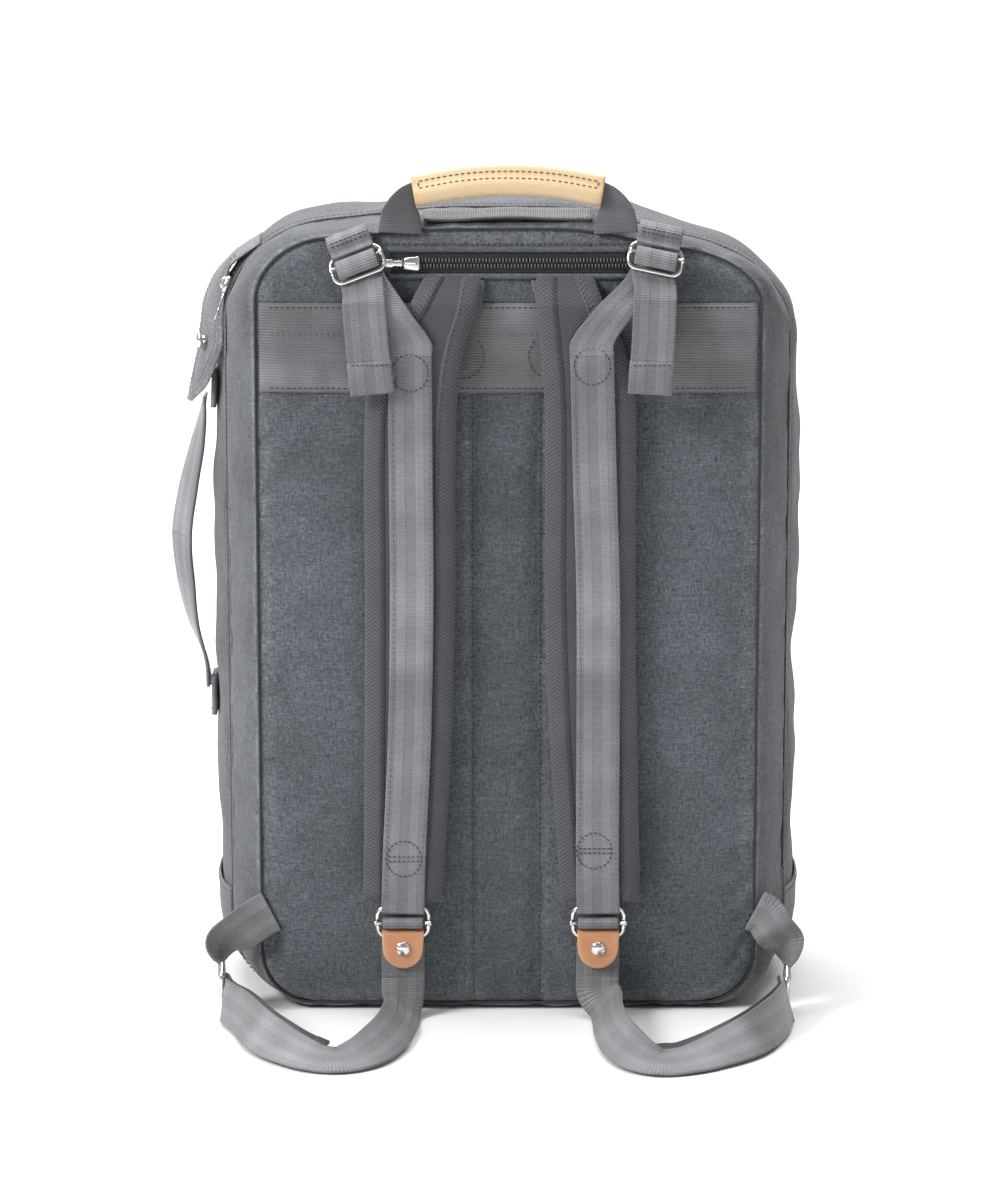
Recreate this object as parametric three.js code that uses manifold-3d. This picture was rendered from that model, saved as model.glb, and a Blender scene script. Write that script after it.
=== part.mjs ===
// Travel backpack standing on its base, strap side facing -Y, millimetres, +Z up.
// The origin is on the flat base, under the middle of the bag. Every piece is one closed solid.
import * as THREE from "three";
import { mergeVertices } from "three/addons/utils/BufferGeometryUtils.js";
import Module from "manifold-3d";

const wasm = await Module();
wasm.setup();

// Driving dimensions
const BAG_DEPTH = 160;
const BAG_HALF_WIDTH = 173;
const BAG_TOP = 469;
const PANEL_HALF_WIDTH = 143;
const PANEL_TOP = 460;
const PANEL_THICK = 6;
const WALL = 4;
const GAP = 0.3;
const SKIN = 2;
const BOOT_HEIGHT = 62;
const WEBBING_WIDTH = 25;
const WEBBING_THICK = 1.6;
const BAND_BOTTOM = 367;
const BAND_TOP = 418;
const PAD_THICK = 8;
const PAD_GAP = 6.5;
const WIRE_RADIUS = 1.3;

const BACK_Y = -BAG_DEPTH / 2;
const WALL_Z = new THREE.Vector3(0, 0, 1);

// Where the zip's two ends lie, in outline places: 27 is the foot of the right side, 13 the top of the left
const ZIP_START = 27.095;
const ZIP_END = 13.065;
const SEAM_CLEAR = 0.0012;
const ZIP_Y = BACK_Y + 38.7;
const ZIP_CORNER_RADIUS = 60.5;
const ZIP_CORNER_X = 102;
const ZIP_CORNER_Z = BAG_TOP - 60.8;
const MAIN_SLIDER_ANGLE = 160;

// Handle, strap ends and loose webbing
const HANDLE_Y = BACK_Y + 1.4;
const TAB_WIDTH = 24.5;
const TAB_TOP = 54.4;
const TAB_BOTTOM = 29.5;
const TAB_FRONT = BACK_Y - 15;
const TAB_BACK = BACK_Y - 7;
const RIVET_Z = 41.6;
const LOOP_LENGTH = 9;
const PAD_TOP_BACK = [1.8, 0.7, 0.2];
const LAYER_STEP = 4.4;
const LIFT = 1.8;
const TAIL_Y = [BACK_Y - 17.8, BACK_Y - 21.2, BACK_Y - 19.8];

// Colours and finishes
const CLOTH_ROUGHNESS = 0.9;
const canvas = () => finish(0x5d6266, CLOTH_ROUGHNESS);
const canvasLight = () => finish(0x7d7e84, CLOTH_ROUGHNESS);
const webbing = () => finish(0x8a898f, 0.7);
const bandWebbing = () => finish(0x76737a, 0.75);
const twill = () => finish(0x54545a, 0.85);
const blackTape = () => finish(0x26262a, 0.7);
const paleLeather = () => finish(0xf1d9b3, 0.55);
const tanLeather = () => finish(0xc88e6c, 0.5);
const nickel = () => finish(0xc9c9c9, 0.25, 1);
const foam = () => finish(0x3a3a3e, 0.95);

function finish(color, roughness, metalness = 0) {
  return new THREE.MeshStandardMaterial({ color, roughness, metalness });
}

const vec = (x, y, z) => new THREE.Vector3(x, y, z);
const RIGHT = vec(1, 0, 0);
const BACKWARD = vec(0, 1, 0);
const root = new THREE.Group();

function add(name, geometry, material) {
  const mesh = new THREE.Mesh(geometry, material);
  mesh.name = name;
  root.add(mesh);
  return mesh;
}

// Solids

// Joins rings of points into one closed surface. closed joins the last ring to the first; otherwise both ends
// get a flat fan of triangles round their middle. From side swapFrom on, each four-sided patch is split along
// its other diagonal, so that a twisted strip keeps its thickness.
function loft(rings, closed = false, swapFrom = Infinity) {
  const count = rings[0].length;
  const points = rings.flat().map((p) => p.toArray()).flat();
  const index = [];
  const bands = closed ? rings.length : rings.length - 1;
  for (let r = 0; r < bands; r++) {
    const next = (r + 1) % rings.length;
    for (let i = 0; i < count; i++) {
      const j = (i + 1) % count;
      const [a, b, c, d] = [r * count + i, r * count + j, next * count + j, next * count + i];
      if (i < swapFrom) index.push(a, b, c, a, c, d);
      else index.push(a, b, d, b, c, d);
    }
  }
  if (!closed) {
    for (const [ring, flip] of [[0, true], [rings.length - 1, false]]) {
      const middle = new THREE.Vector3();
      rings[ring].forEach((p) => middle.addScaledVector(p, 1 / count));
      const centre = points.length / 3;
      points.push(...middle.toArray());
      for (let i = 0; i < count; i++) {
        const a = ring * count + i;
        const b = ring * count + ((i + 1) % count);
        if (flip) index.push(centre, b, a);
        else index.push(centre, a, b);
      }
    }
  }
  const geometry = new THREE.BufferGeometry();
  geometry.setAttribute("position", new THREE.Float32BufferAttribute(points, 3));
  geometry.setIndex(index);
  return faceOutwards(geometry);
}

function faceOutwards(geometry) {
  const position = geometry.attributes.position;
  const index = geometry.index.array;
  const a = new THREE.Vector3();
  const b = new THREE.Vector3();
  const c = new THREE.Vector3();
  let volume = 0;
  for (let i = 0; i < index.length; i += 3) {
    a.fromBufferAttribute(position, index[i]);
    b.fromBufferAttribute(position, index[i + 1]);
    c.fromBufferAttribute(position, index[i + 2]);
    volume += a.dot(b.cross(c));
  }
  if (volume < 0) {
    for (let i = 0; i < index.length; i += 3) {
      [index[i + 1], index[i + 2]] = [index[i + 2], index[i + 1]];
    }
  }
  geometry.computeVertexNormals();
  return geometry;
}

function toManifold(geometry) {
  const bare = geometry.clone();
  bare.deleteAttribute("normal");
  bare.deleteAttribute("uv");
  const merged = mergeVertices(bare, 1e-4);
  return new wasm.Manifold(
    new wasm.Mesh({
      numProp: 3,
      vertProperties: merged.attributes.position.array,
      triVerts: new Uint32Array(merged.index.array),
    }),
  );
}

function fromManifold(solid) {
  const made = solid.getMesh();
  const geometry = new THREE.BufferGeometry();
  geometry.setAttribute("position", new THREE.BufferAttribute(made.vertProperties, 3));
  geometry.setIndex(new THREE.BufferAttribute(made.triVerts, 1));
  geometry.computeVertexNormals();
  return geometry;
}

function block(low, high) {
  const size = high.clone().sub(low);
  const box = new THREE.BoxGeometry(size.x, size.y, size.z);
  const middle = low.clone().add(high).multiplyScalar(0.5);
  return box.translate(middle.x, middle.y, middle.z);
}

// Rings of the bag's outline

// One closed outline in the plane y, straight sides and round corners, as points at even corner angles.
function outline({ y, half, bottom, top, upper, lower }, steps = 6) {
  const corners = [
    [half - upper, top - upper, upper, 0],
    [-half + upper, top - upper, upper, 1],
    [-half + lower, bottom + lower, lower, 2],
    [half - lower, bottom + lower, lower, 3],
  ];
  const ring = [];
  for (const [x, z, radius, quarter] of corners) {
    for (let i = 0; i <= steps; i++) {
      const angle = ((quarter + i / steps) * Math.PI) / 2;
      ring.push(vec(x + radius * Math.cos(angle), y, z + radius * Math.sin(angle)));
    }
  }
  return ring;
}

const inset = (section, by) => ({
  ...section,
  half: section.half - by,
  bottom: section.bottom + by,
  top: section.top - by,
  upper: section.upper - by,
  lower: section.lower - by,
});

function at(depth, half, bottom, top, upper, lower) {
  return { y: BACK_Y + depth, half, bottom, top, upper, lower };
}

const gussetSections = [
  at(3, PANEL_HALF_WIDTH + 3, 1.5, PANEL_TOP + 2, 42, 32),
  at(10, 152, 0.6, PANEL_TOP + 5, 48, 36),
  at(22, 158, 0, PANEL_TOP + 7, 55, 40),
  at(35, 162, 0, PANEL_TOP + 8, 60, 42),
];
const zipSections = [at(35.3, 161.5, 0.4, BAG_TOP - 1, 60, 42), at(42, 163.5, 0.4, BAG_TOP - 0.6, 61, 42)];
const shellSections = [
  at(42.3, 165, 0, BAG_TOP - 0.4, 62, 42),
  at(60, 170, 0, BAG_TOP, 66, 44),
  at(88, BAG_HALF_WIDTH, 0, BAG_TOP, 70, 46),
  at(115, BAG_HALF_WIDTH - 1, 0, BAG_TOP - 2, 70, 46),
  at(138, 166, 0, BAG_TOP - 8, 68, 46),
  at(152, 158, 3, BAG_TOP - 17, 64, 46),
  at(BAG_DEPTH, 147, 11, BAG_TOP - 28, 56, 42),
];

// A closed-fronted tub from the zip line to the bag's far face, by its inset from the outer skin.
function tub(outerInset, innerInset) {
  const outer = shellSections.map((s) => outline(inset(s, outerInset)));
  const inner = shellSections.map((s) => outline(inset(s, innerInset)));
  outer[outer.length - 1].forEach((p) => (p.y -= outerInset));
  inner[inner.length - 1].forEach((p) => (p.y -= innerInset));
  return loft([...inner.reverse(), ...outer]);
}

function solidTub(by) {
  const rings = shellSections.map((s) => outline(inset(s, by)));
  rings[rings.length - 1].forEach((p) => (p.y -= by));
  return loft(rings);
}

// A frame-like wall: outer rings, then inner rings back again.
function wallRing(sections, thick) {
  const outer = sections.map((s) => outline(s));
  const inner = sections.map((s) => outline(inset(s, thick)));
  return loft([...outer, ...inner.reverse()], true);
}

// A point of an outline at a fractional place, counted in outline points from the right side's top corner.
function outlinePoint(ring, place) {
  const low = Math.floor(place);
  return ring[low % ring.length].clone().lerp(ring[(low + 1) % ring.length], place - low);
}

// Part of a wall ring, between two places of the outline.
function wallStretch(sections, thick, from, to) {
  const outer = sections.map((s) => outline(s));
  const inner = sections.map((s) => outline(inset(s, thick)));
  const profile = [...outer, ...inner.reverse()];
  const places = [from];
  for (let i = Math.floor(from) + 1; i < to; i++) places.push(i);
  places.push(to);
  return loft(places.map((place) => profile.map((ring) => outlinePoint(ring, place))));
}

// Flat strips: a rectangle swept along a route, with its width laid along a chosen direction.
// A sheared strip keeps its width direction instead of turning it square to the route.
function ribbon(strip) {
  const { route, across, width = WEBBING_WIDTH, thick = WEBBING_THICK, steps } = strip;
  const { round = false, sheared = false } = strip;
  const path = new THREE.CatmullRomCurve3(route, false, "centripetal");
  const widths = Array.isArray(width) ? width : [width, width];
  const section = round
    ? [[-0.5, -0.2], [-0.5, 0.2], [-0.4, 0.5], [0.4, 0.5], [0.5, 0.2], [0.5, -0.2], [0.4, -0.5], [-0.4, -0.5]]
    : [[-0.5, -0.5], [-0.5, 0.5], [0.5, 0.5], [0.5, -0.5]];
  const rings = [];
  for (let i = 0; i <= steps; i++) {
    const t = i / steps;
    const centre = path.getPoint(t);
    const along = path.getTangent(t);
    const side = blendAlong(across, t);
    if (!sheared) side.addScaledVector(along, -side.dot(along));
    side.normalize();
    const normal = along.clone().cross(side).normalize();
    const w = valueAlong(widths, t);
    const place = ([u, v]) => centre.clone().addScaledVector(side, u * w).addScaledVector(normal, v * thick);
    rings.push(section.map(place));
  }
  return loft(rings, false, section.length / 2);
}

function blendAlong(list, t) {
  const place = t * (list.length - 1);
  const low = Math.min(Math.floor(place), list.length - 2);
  return list[low].clone().lerp(list[low + 1], place - low);
}

function valueAlong(list, t) {
  const place = t * (list.length - 1);
  const low = Math.min(Math.floor(place), list.length - 2);
  return THREE.MathUtils.lerp(list[low], list[low + 1], place - low);
}

// A closed wire frame with round corners, in the plane of the two directions u and v.
function wireFrame(centre, u, v, width, height, corner, radius = WIRE_RADIUS) {
  const points = [];
  const cornerSteps = 3;
  const signs = [[1, 1, 0], [-1, 1, 1], [-1, -1, 2], [1, -1, 3]];
  for (const [su, sv, quarter] of signs) {
    for (let i = 0; i <= cornerSteps; i++) {
      const angle = ((quarter + i / cornerSteps) * Math.PI) / 2;
      const a = su * (width / 2 - corner) + corner * Math.cos(angle);
      const b = sv * (height / 2 - corner) + corner * Math.sin(angle);
      points.push(centre.clone().addScaledVector(u, a).addScaledVector(v, b));
    }
  }
  const sides = 6;
  const normal = u.clone().cross(v).normalize();
  const rings = points.map((p, i) => {
    const before = points[(i + points.length - 1) % points.length];
    const after = points[(i + 1) % points.length];
    const along = after.clone().sub(before).normalize();
    const out = along.clone().cross(normal);
    const ring = [];
    for (let k = 0; k < sides; k++) {
      const turn = (k / sides) * 2 * Math.PI;
      const point = p.clone().addScaledVector(out, radius * Math.cos(turn));
      ring.push(point.addScaledVector(normal, radius * Math.sin(turn)));
    }
    return ring;
  });
  return loft(rings, true);
}

// A turned piece: a lathe profile about its own axis, laid along a direction.
function turned(profile, centre, axis, segments = 12) {
  const lathe = new THREE.LatheGeometry(profile.map(([r, h]) => new THREE.Vector2(r, h)), segments);
  lathe.applyQuaternion(new THREE.Quaternion().setFromUnitVectors(vec(0, 1, 0), axis.clone().normalize()));
  lathe.translate(centre.x, centre.y, centre.z);
  lathe.deleteAttribute("normal");
  lathe.deleteAttribute("uv");
  return faceOutwards(mergeVertices(lathe, 1e-4));
}

// Bag body

function buildBody() {
  const panel = at(0, PANEL_HALF_WIDTH, 4.4, PANEL_TOP - 0.9, 40, 31);
  const edge = { ...panel, y: BACK_Y + 2.5 };
  const inside = { ...panel, y: BACK_Y + PANEL_THICK };
  add("back_panel", loft([outline(inset(panel, 5)), outline(edge), outline(inside)]), canvas());

  const linerTop = PANEL_TOP - 12;
  const linerLow = vec(-80, BACK_Y + PANEL_THICK + GAP, 300);
  const linerHigh = vec(80, BACK_Y + PANEL_THICK + GAP + 1.2, linerTop);
  add("top_pocket_liner", block(linerLow, linerHigh), foam());

  const foamBack = at(PANEL_THICK + GAP + 1.5, 130, 14, PANEL_TOP - 10, 34, 26);
  const foamFront = { ...foamBack, y: foamBack.y + 6 };
  add("back_foam", loft([outline(foamBack), outline(foamFront)]), foam());

  add("back_gusset", wallRing(gussetSections, 2.4), canvasLight());

  add("main_zip_tape", wallStretch(zipSections, 2.4, ZIP_START, ZIP_END + 28), blackTape());
  add("fixed_seam", wallStretch(zipSections, 2.4, ZIP_END + SEAM_CLEAR, ZIP_START - SEAM_CLEAR), canvasLight());

  add("main_shell", tub(SKIN + GAP, SKIN + GAP + WALL), canvasLight());
  const boot = toManifold(solidTub(0))
    .subtract(toManifold(solidTub(SKIN)))
    .intersect(toManifold(block(vec(-200, BACK_Y + 42.3, -1), vec(200, BAG_DEPTH, BOOT_HEIGHT))));
  add("base_boot", fromManifold(boot), canvasLight());

  const floorTop = SKIN + GAP + WALL + 1.2;
  add("base_pad", block(vec(-118, -30, floorTop), vec(118, 50, floorTop + 4)), foam());
  const sleeve = toManifold(block(vec(-128, BACK_Y + 15, 30), vec(128, BACK_Y + 38, 350)))
    .subtract(toManifold(block(vec(-124, BACK_Y + 10, 34), vec(124, BACK_Y + 34, 360))));
  add("laptop_sleeve", fromManifold(sleeve), foam());
}

// Pieces on the bag's faces

function zipPull(pivot, along, length, width, thick) {
  const across = along.clone().cross(BACKWARD).normalize();
  const route = [0, 0.35, 1].map((t) => pivot.clone().addScaledVector(along, t * length));
  return ribbon({ route, across: [across, across], width: [width * 0.6, width, width], thick, steps: 4 });
}

function buildTopPocket() {
  const tapeFront = BACK_Y - GAP - 1;
  const z = 441;
  add("top_zip_tape", block(vec(-66, tapeFront, z - 7), vec(67, BACK_Y - GAP, z + 7)), blackTape());
  const sliderFront = tapeFront - GAP - 2.4;
  add("top_zip_slider", block(vec(-59, sliderFront, z - 4), vec(-50, tapeFront - GAP, z + 4)), nickel());
  const pivot = vec(-59.6, tapeFront - GAP - 1.2, z);
  add("top_zip_pull", zipPull(pivot, vec(-1, 0, 0), 8, 4, 1.2), nickel());
}

function buildFrontPocket() {
  const face = -BACK_Y - SKIN;
  const patch = { y: face, half: 112, bottom: BOOT_HEIGHT + 4, top: 330, upper: 14, lower: 24 };
  const rings = [patch, { ...patch, y: face + 3 }, { ...inset(patch, 4), y: face + 4.5 }];
  add("front_pocket", loft(rings.map((r) => outline(r, 3))), canvas());
  const z = 342;
  add("front_zip_tape", block(vec(-102, face, z - 7), vec(102, face + 1, z + 7)), blackTape());
  add("front_zip_slider", block(vec(-94, face + 1.3, z - 4), vec(-84, face + 3.7, z + 4)), nickel());
  add("front_zip_pull", zipPull(vec(-94.6, face + 2.5, z), vec(-1, 0, 0), 18, 5, 1.2), nickel());
}

// The main zip's slider sits on the round left top corner of the tape.
function buildMainSlider() {
  const radius = ZIP_CORNER_RADIUS + 2.6;
  const turn = THREE.MathUtils.degToRad(MAIN_SLIDER_ANGLE);
  const body = new THREE.BoxGeometry(3, 5.6, 10);
  body.translate(radius, 0, 0).rotateY(-turn);
  body.translate(-ZIP_CORNER_X, ZIP_Y, ZIP_CORNER_Z);
  add("main_zip_slider", body, nickel());
  const tip = turn + 6.6 / radius;
  const pivot = vec(-ZIP_CORNER_X + radius * Math.cos(tip), ZIP_Y, ZIP_CORNER_Z + radius * Math.sin(tip));
  const along = vec(-Math.sin(turn), 0, Math.cos(turn));
  const route = [0, 0.4, 1].map((t) => pivot.clone().addScaledVector(along, 15 * t));
  const across = [BACKWARD, BACKWARD];
  add("main_zip_pull", ribbon({ route, across, width: [3, 4.6, 4.6], thick: 1.2, steps: 4 }), nickel());
}

function buildStrapBand() {
  const low = vec(-137, BACK_Y - GAP - 1.2, BAND_BOTTOM);
  add("strap_band", block(low, vec(137, BACK_Y - GAP, BAND_TOP)), bandWebbing());
}

// A pointed flap: its front edge lies along the bag and its back edge stands out from it.
function buildStormFlap() {
  const route = [vec(-159.5, -17, 447), vec(-167, -17, 436), vec(-172.5, -17, 413), vec(-174, -17, 388)];
  route.push(vec(-179.5, -12, 369), vec(-187, -1, 350));
  const across = [BACKWARD, BACKWARD, vec(-0.15, 1, 0), vec(-0.25, 1, 0), vec(-0.4, 1, 0), vec(-0.4, 1, 0)];
  const width = [38, 38, 38, 34, 24, 6];
  add("storm_flap", ribbon({ route, across, width, thick: 2.4, steps: 12 }), canvasLight());
  const stud = [[0, 0], [2.6, 0], [2.2, 1.8], [4.2, 2.2], [4, 3.6], [2, 4.4], [0, 4.6]];
  add("flap_stud", turned(stud, vec(-176.6, -17.6, 387), vec(-0.97, -0.22, -0.05)), nickel());
}

function buildSideHandle() {
  const x = -177.5;
  const outs = [[0, 351.2], [-1.5, 340], [-5, 322], [-11, 295], [-15, 268], [-13, 240], [-9, 215]];
  outs.push([-2, 193], [0, 178]);
  const route = outs.map(([out, z]) => vec(x + out, 0, z));
  const twist = [0, -0.1, -0.2, -0.3, -0.35, -0.35, -0.2, -0.1, 0];
  const across = twist.map((turn) => vec(turn, 1, 0));
  add("side_handle", ribbon({ route, across, thick: 2, steps: 20 }), webbing());
  const low = vec(x - 1.2, -WEBBING_WIDTH / 2, 0);
  const high = vec(-BAG_HALF_WIDTH + 0.4, WEBBING_WIDTH / 2, 0);
  const tabs = [["side_handle_tab_upper", 351.8, 366], ["side_handle_tab_lower", 162, 177.4]];
  for (const [name, bottom, top] of tabs) {
    add(name, block(vec(low.x, low.y, bottom), vec(high.x, high.y, top)), webbing());
  }
}

// Carry handle: webbing runs up from the seam, through the leather grip and down again.
function buildHandle() {
  const y = HANDLE_Y;
  const half = [[-61, 461.8], [-60.5, 469], [-58.5, 476], [-53.5, 481.4], [-27, 486.2]];
  const left = half.map(([x, z]) => vec(x, y, z));
  const right = half.map(([x, z]) => vec(-x, y, z)).reverse();
  const route = [...left, vec(0, y, 487.8), ...right];
  const up = vec(1, 0, 0);
  const turn = vec(0.7, 0, -0.7);
  const flat = vec(0, 0, -1);
  const turnBack = vec(-0.7, 0, -0.7);
  const down = vec(-1, 0, 0);
  const across = [up, up, turn, flat, flat, flat, flat, flat, turnBack, down, down];
  const width = [25, 22, 14, 9.4, 10.6, 10.6, 10.6, 9.4, 14, 22, 25];
  add("handle_webbing", ribbon({ route, across, width, thick: 2.4, steps: 30 }), webbing());
  const gripRoute = route.slice(3, 8);
  add("handle_grip", sleeve(gripRoute, [17.6, 12.4], [15.4, 6.8], 14), paleLeather());
  add("handle_base_strip", block(vec(-45, -72, PANEL_TOP + 7.6), vec(45, -58, PANEL_TOP + 9)), webbing());
}

// A hollow sleeve along a route in an XZ plane: outer and inner sections as [height, depth].
function sleeve(route, outerSize, innerSize, steps) {
  const path = new THREE.CatmullRomCurve3(route, false, "centripetal");
  const ringAt = (t, [height, depth]) => {
    const centre = path.getPoint(t);
    const along = path.getTangent(t);
    const up = along.clone().cross(BACKWARD).normalize();
    const ring = [];
    for (let k = 0; k < 8; k++) {
      const angle = ((k + 0.5) / 8) * 2 * Math.PI;
      const reach = 1 / Math.cos(Math.PI / 8);
      const a = THREE.MathUtils.clamp(Math.cos(angle) * reach, -1, 1) * (height / 2);
      const b = THREE.MathUtils.clamp(Math.sin(angle) * reach, -1, 1) * (depth / 2);
      ring.push(centre.clone().addScaledVector(up, a).addScaledVector(BACKWARD, b));
    }
    return ring;
  };
  const outer = [];
  const inner = [];
  for (let i = 0; i <= steps; i++) {
    outer.push(ringAt(i / steps, outerSize));
    inner.push(ringAt(i / steps, innerSize));
  }
  return loft([...outer, ...inner.reverse()], true);
}

// Shoulder straps

const SIDES = [
  {
    name: "left",
    sign: -1,
    root: -29,
    pad: [-31, -38, -48, -54, -56, -56, -58, -61],
    web: [-55.5, -55.3, -55, -56.5, -60, -61],
    buckle: vec(-85, -87, 441),
    buckleTilt: 21,
    tail: [-82, -80, -76.5],
    end: -61,
    glide: vec(-166, -90, 19),
    outline: [
      [-51, -100, 0, 40],
      [-55, -135, -11, 38],
      [-61, -166, -31, 32],
      [-78, -192, -60, 24],
      [-100, -201, -90, 20],
      [-128, -187, -123, 25],
      [-147, -163, -150, 38],
      [-159, -128, -166, 55],
      [-167, -109, -176, 70],
    ],
  },
  {
    name: "right",
    sign: 1,
    root: 27,
    pad: [32, 36, 42, 46, 47, 47, 50, 54],
    web: [47.4, 49, 51.5, 51.8, 51.8, 52.4],
    buckle: vec(83, -87, 444),
    buckleTilt: 12,
    tail: [83, 82, 80],
    end: 52.4,
    glide: vec(162, -91, 17),
    outline: [
      [48, -100, 180, 40],
      [50, -140, 191, 38],
      [56, -178, 211, 32],
      [73, -204, 246, 24],
      [97, -203, 287, 20],
      [123, -189, 300, 25],
      [146, -167, 319, 38],
      [160, -135, 344, 55],
      [165.5, -110, 356, 70],
    ],
  },
];

const PAD_Y = BACK_Y - PAD_GAP - PAD_THICK / 2;
const WEB_Y = BACK_Y - PAD_GAP - PAD_THICK - GAP - WEBBING_THICK / 2;
const RING_Y = BACK_Y - 11;
const RING_Z = 56.8;

// Centreline and width direction of the lower webbing, from the points where its lower edge meets the ground.
function lowerLoop(side, layer) {
  return side.outline.map(([x, y, outward, lean]) => {
    const out = THREE.MathUtils.degToRad(outward);
    const tilt = THREE.MathUtils.degToRad(lean);
    const away = vec(Math.cos(out), Math.sin(out), 0);
    const back = (WEBBING_WIDTH / 2) * Math.cos(tilt) + (layer * LAYER_STEP) / Math.sin(tilt);
    const centre = vec(x, y, (WEBBING_WIDTH / 2) * Math.sin(tilt) + LIFT).addScaledVector(away, -back);
    const width = away.clone().multiplyScalar(Math.cos(tilt)).addScaledVector(WALL_Z, -Math.sin(tilt));
    return { centre, width };
  });
}

function buildStrap(side) {
  const { name, sign } = side;
  const rootLow = vec(side.root - 17, BACK_Y - GAP * 2 - 3.4, 378);
  const rootHigh = vec(side.root + 17, BACK_Y - GAP * 2 - 1.2, 428);
  add("strap_root_" + name, block(rootLow, rootHigh), twill());

  const padHeights = [430, 415, 395, 370, 330, 250, 150, 69];
  const padRoute = padHeights.map((z, i) => vec(side.pad[i], PAD_Y + (PAD_TOP_BACK[i] ?? 0), z));
  const padWidth = [33, 40, 48, 52, 52, 52, 50, 46];
  const pad = { route: padRoute, across: [RIGHT, RIGHT], width: padWidth, thick: PAD_THICK, steps: 22, round: true };
  add("strap_pad_" + name, ribbon(pad), twill());

  const webHeights = [392, 330, 250, 170, 96, 60];
  const webRoute = webHeights.map((z, i) => vec(side.web[i], WEB_Y, z));
  add("strap_webbing_" + name, ribbon({ route: webRoute, across: [RIGHT, RIGHT], steps: 16 }), webbing());

  buildUpperAdjuster(side);
  buildStrapEnd(side);
  buildLowerWebbing(side, sign);
}

function buildUpperAdjuster(side) {
  const { name, sign, buckle } = side;
  const tilt = THREE.MathUtils.degToRad(side.buckleTilt) * -sign;
  const u = vec(Math.cos(tilt), 0, Math.sin(tilt));
  const lean = THREE.MathUtils.degToRad(25);
  const v = vec(-Math.sin(tilt) * Math.cos(lean), Math.sin(lean), Math.cos(tilt) * Math.cos(lean));
  add("upper_buckle_" + name, wireFrame(buckle, u, v, 30, 15, 5), nickel());
  const outwards = v.clone().cross(u).normalize();
  const barAt = buckle.clone().addScaledVector(v, 1).addScaledVector(outwards, 3.3 * Math.sign(-outwards.y));
  add("upper_buckle_bar_" + name, turned(barProfile(16), barAt, u, 8), nickel());

  const loopEnd = buckle.clone().addScaledVector(v, 10.8).add(vec(0, -0.9, 0));
  const loopRise = vec(-Math.sin(tilt), 0, Math.cos(tilt)).multiplyScalar(LOOP_LENGTH);
  const loopTop = loopEnd.clone().add(loopRise);
  loopTop.y = BACK_Y - 2.6;
  const loopRoute = [loopTop, loopTop.clone().lerp(loopEnd, 0.5), loopEnd];
  add("upper_loop_" + name, ribbon({ route: loopRoute, across: [u, u], thick: 2.2, steps: 3 }), webbing());

  const lower = buckle.clone().addScaledVector(v, -7.5);
  const lifterTop = lower.clone().add(vec(-sign * 1.5, 1.5, -3.4));
  const lifterEnd = vec(side.web[0], WEB_Y, 393.2);
  const above = lifterEnd.clone().add(vec(0, -0.7, 6));
  const middle = vec(side.web[0] + sign * 12, WEB_Y - 1.7, 415);
  const lifterRoute = [lifterTop, middle, above, lifterEnd];
  const lifterAcross = [u, RIGHT, RIGHT, RIGHT];
  const lifter = { route: lifterRoute, across: lifterAcross, steps: 12, sheared: true };
  add("lifter_" + name, ribbon(lifter), webbing());

  const tailHeights = [lower.z - 2.2, 405, 369];
  const tailRoute = tailHeights.map((z, i) => vec(side.tail[i], TAIL_Y[i], z));
  add("tail_" + name, ribbon({ route: tailRoute, across: [RIGHT, RIGHT], width: 24, steps: 8 }), webbing());
}

// A slide bar: a thin pin with a round knob at each end.
function barProfile(half) {
  return [[0, -half], [1.7, -half + 0.4], [1.7, -half + 1.8], [1.1, -half + 2.4],
    [1.1, half - 2.4], [1.7, half - 1.8], [1.7, half - 0.4], [0, half]];
}

function buildStrapEnd(side) {
  const { name, end } = side;
  const centre = vec(end, RING_Y, RING_Z);
  add("end_ring_" + name, wireFrame(centre, RIGHT, WALL_Z, 29.5, 18, 6), nickel());
  const barCentre = centre.clone().add(vec(0, -3.3, 0));
  add("end_ring_bar_" + name, turned(barProfile(16.8), barCentre, RIGHT, 8), nickel());

  const outlineShape = new THREE.Shape();
  const half = TAB_WIDTH / 2;
  outlineShape.moveTo(-half, TAB_TOP);
  outlineShape.lineTo(-half + 0.8, TAB_BOTTOM + 9);
  outlineShape.absarc(0, TAB_BOTTOM + 11.5, 11.5, Math.PI * 1.06, Math.PI * 1.94, false);
  outlineShape.lineTo(half - 0.8, TAB_BOTTOM + 9);
  outlineShape.lineTo(half, TAB_TOP);
  const depth = TAB_BACK - TAB_FRONT;
  const slab = new THREE.ExtrudeGeometry(outlineShape, { depth, bevelEnabled: false, curveSegments: 8 });
  slab.rotateX(Math.PI / 2).translate(end, TAB_BACK, 0);
  const space = block(vec(end - 30, TAB_FRONT + 1.6, 0), vec(end + 30, TAB_BACK - 1.6, TAB_TOP - 1.6));
  const rivetHole = turned([[0, -6], [1.9, -6], [1.9, 6], [0, 6]], vec(end, TAB_FRONT, RIVET_Z), BACKWARD, 10);
  const tab = toManifold(slab).subtract(toManifold(space)).subtract(toManifold(rivetHole));
  add("leather_tab_" + name, fromManifold(tab), tanLeather());
  const rivet = [[0, -1.4], [1.5, -1.4], [1.5, 0.3], [4.1, 0.3], [3.4, 1.4], [1.8, 2], [0, 2.2]];
  add("rivet_" + name, turned(rivet, vec(end, TAB_FRONT, RIVET_Z), vec(0, -1, 0)), nickel());
}

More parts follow.
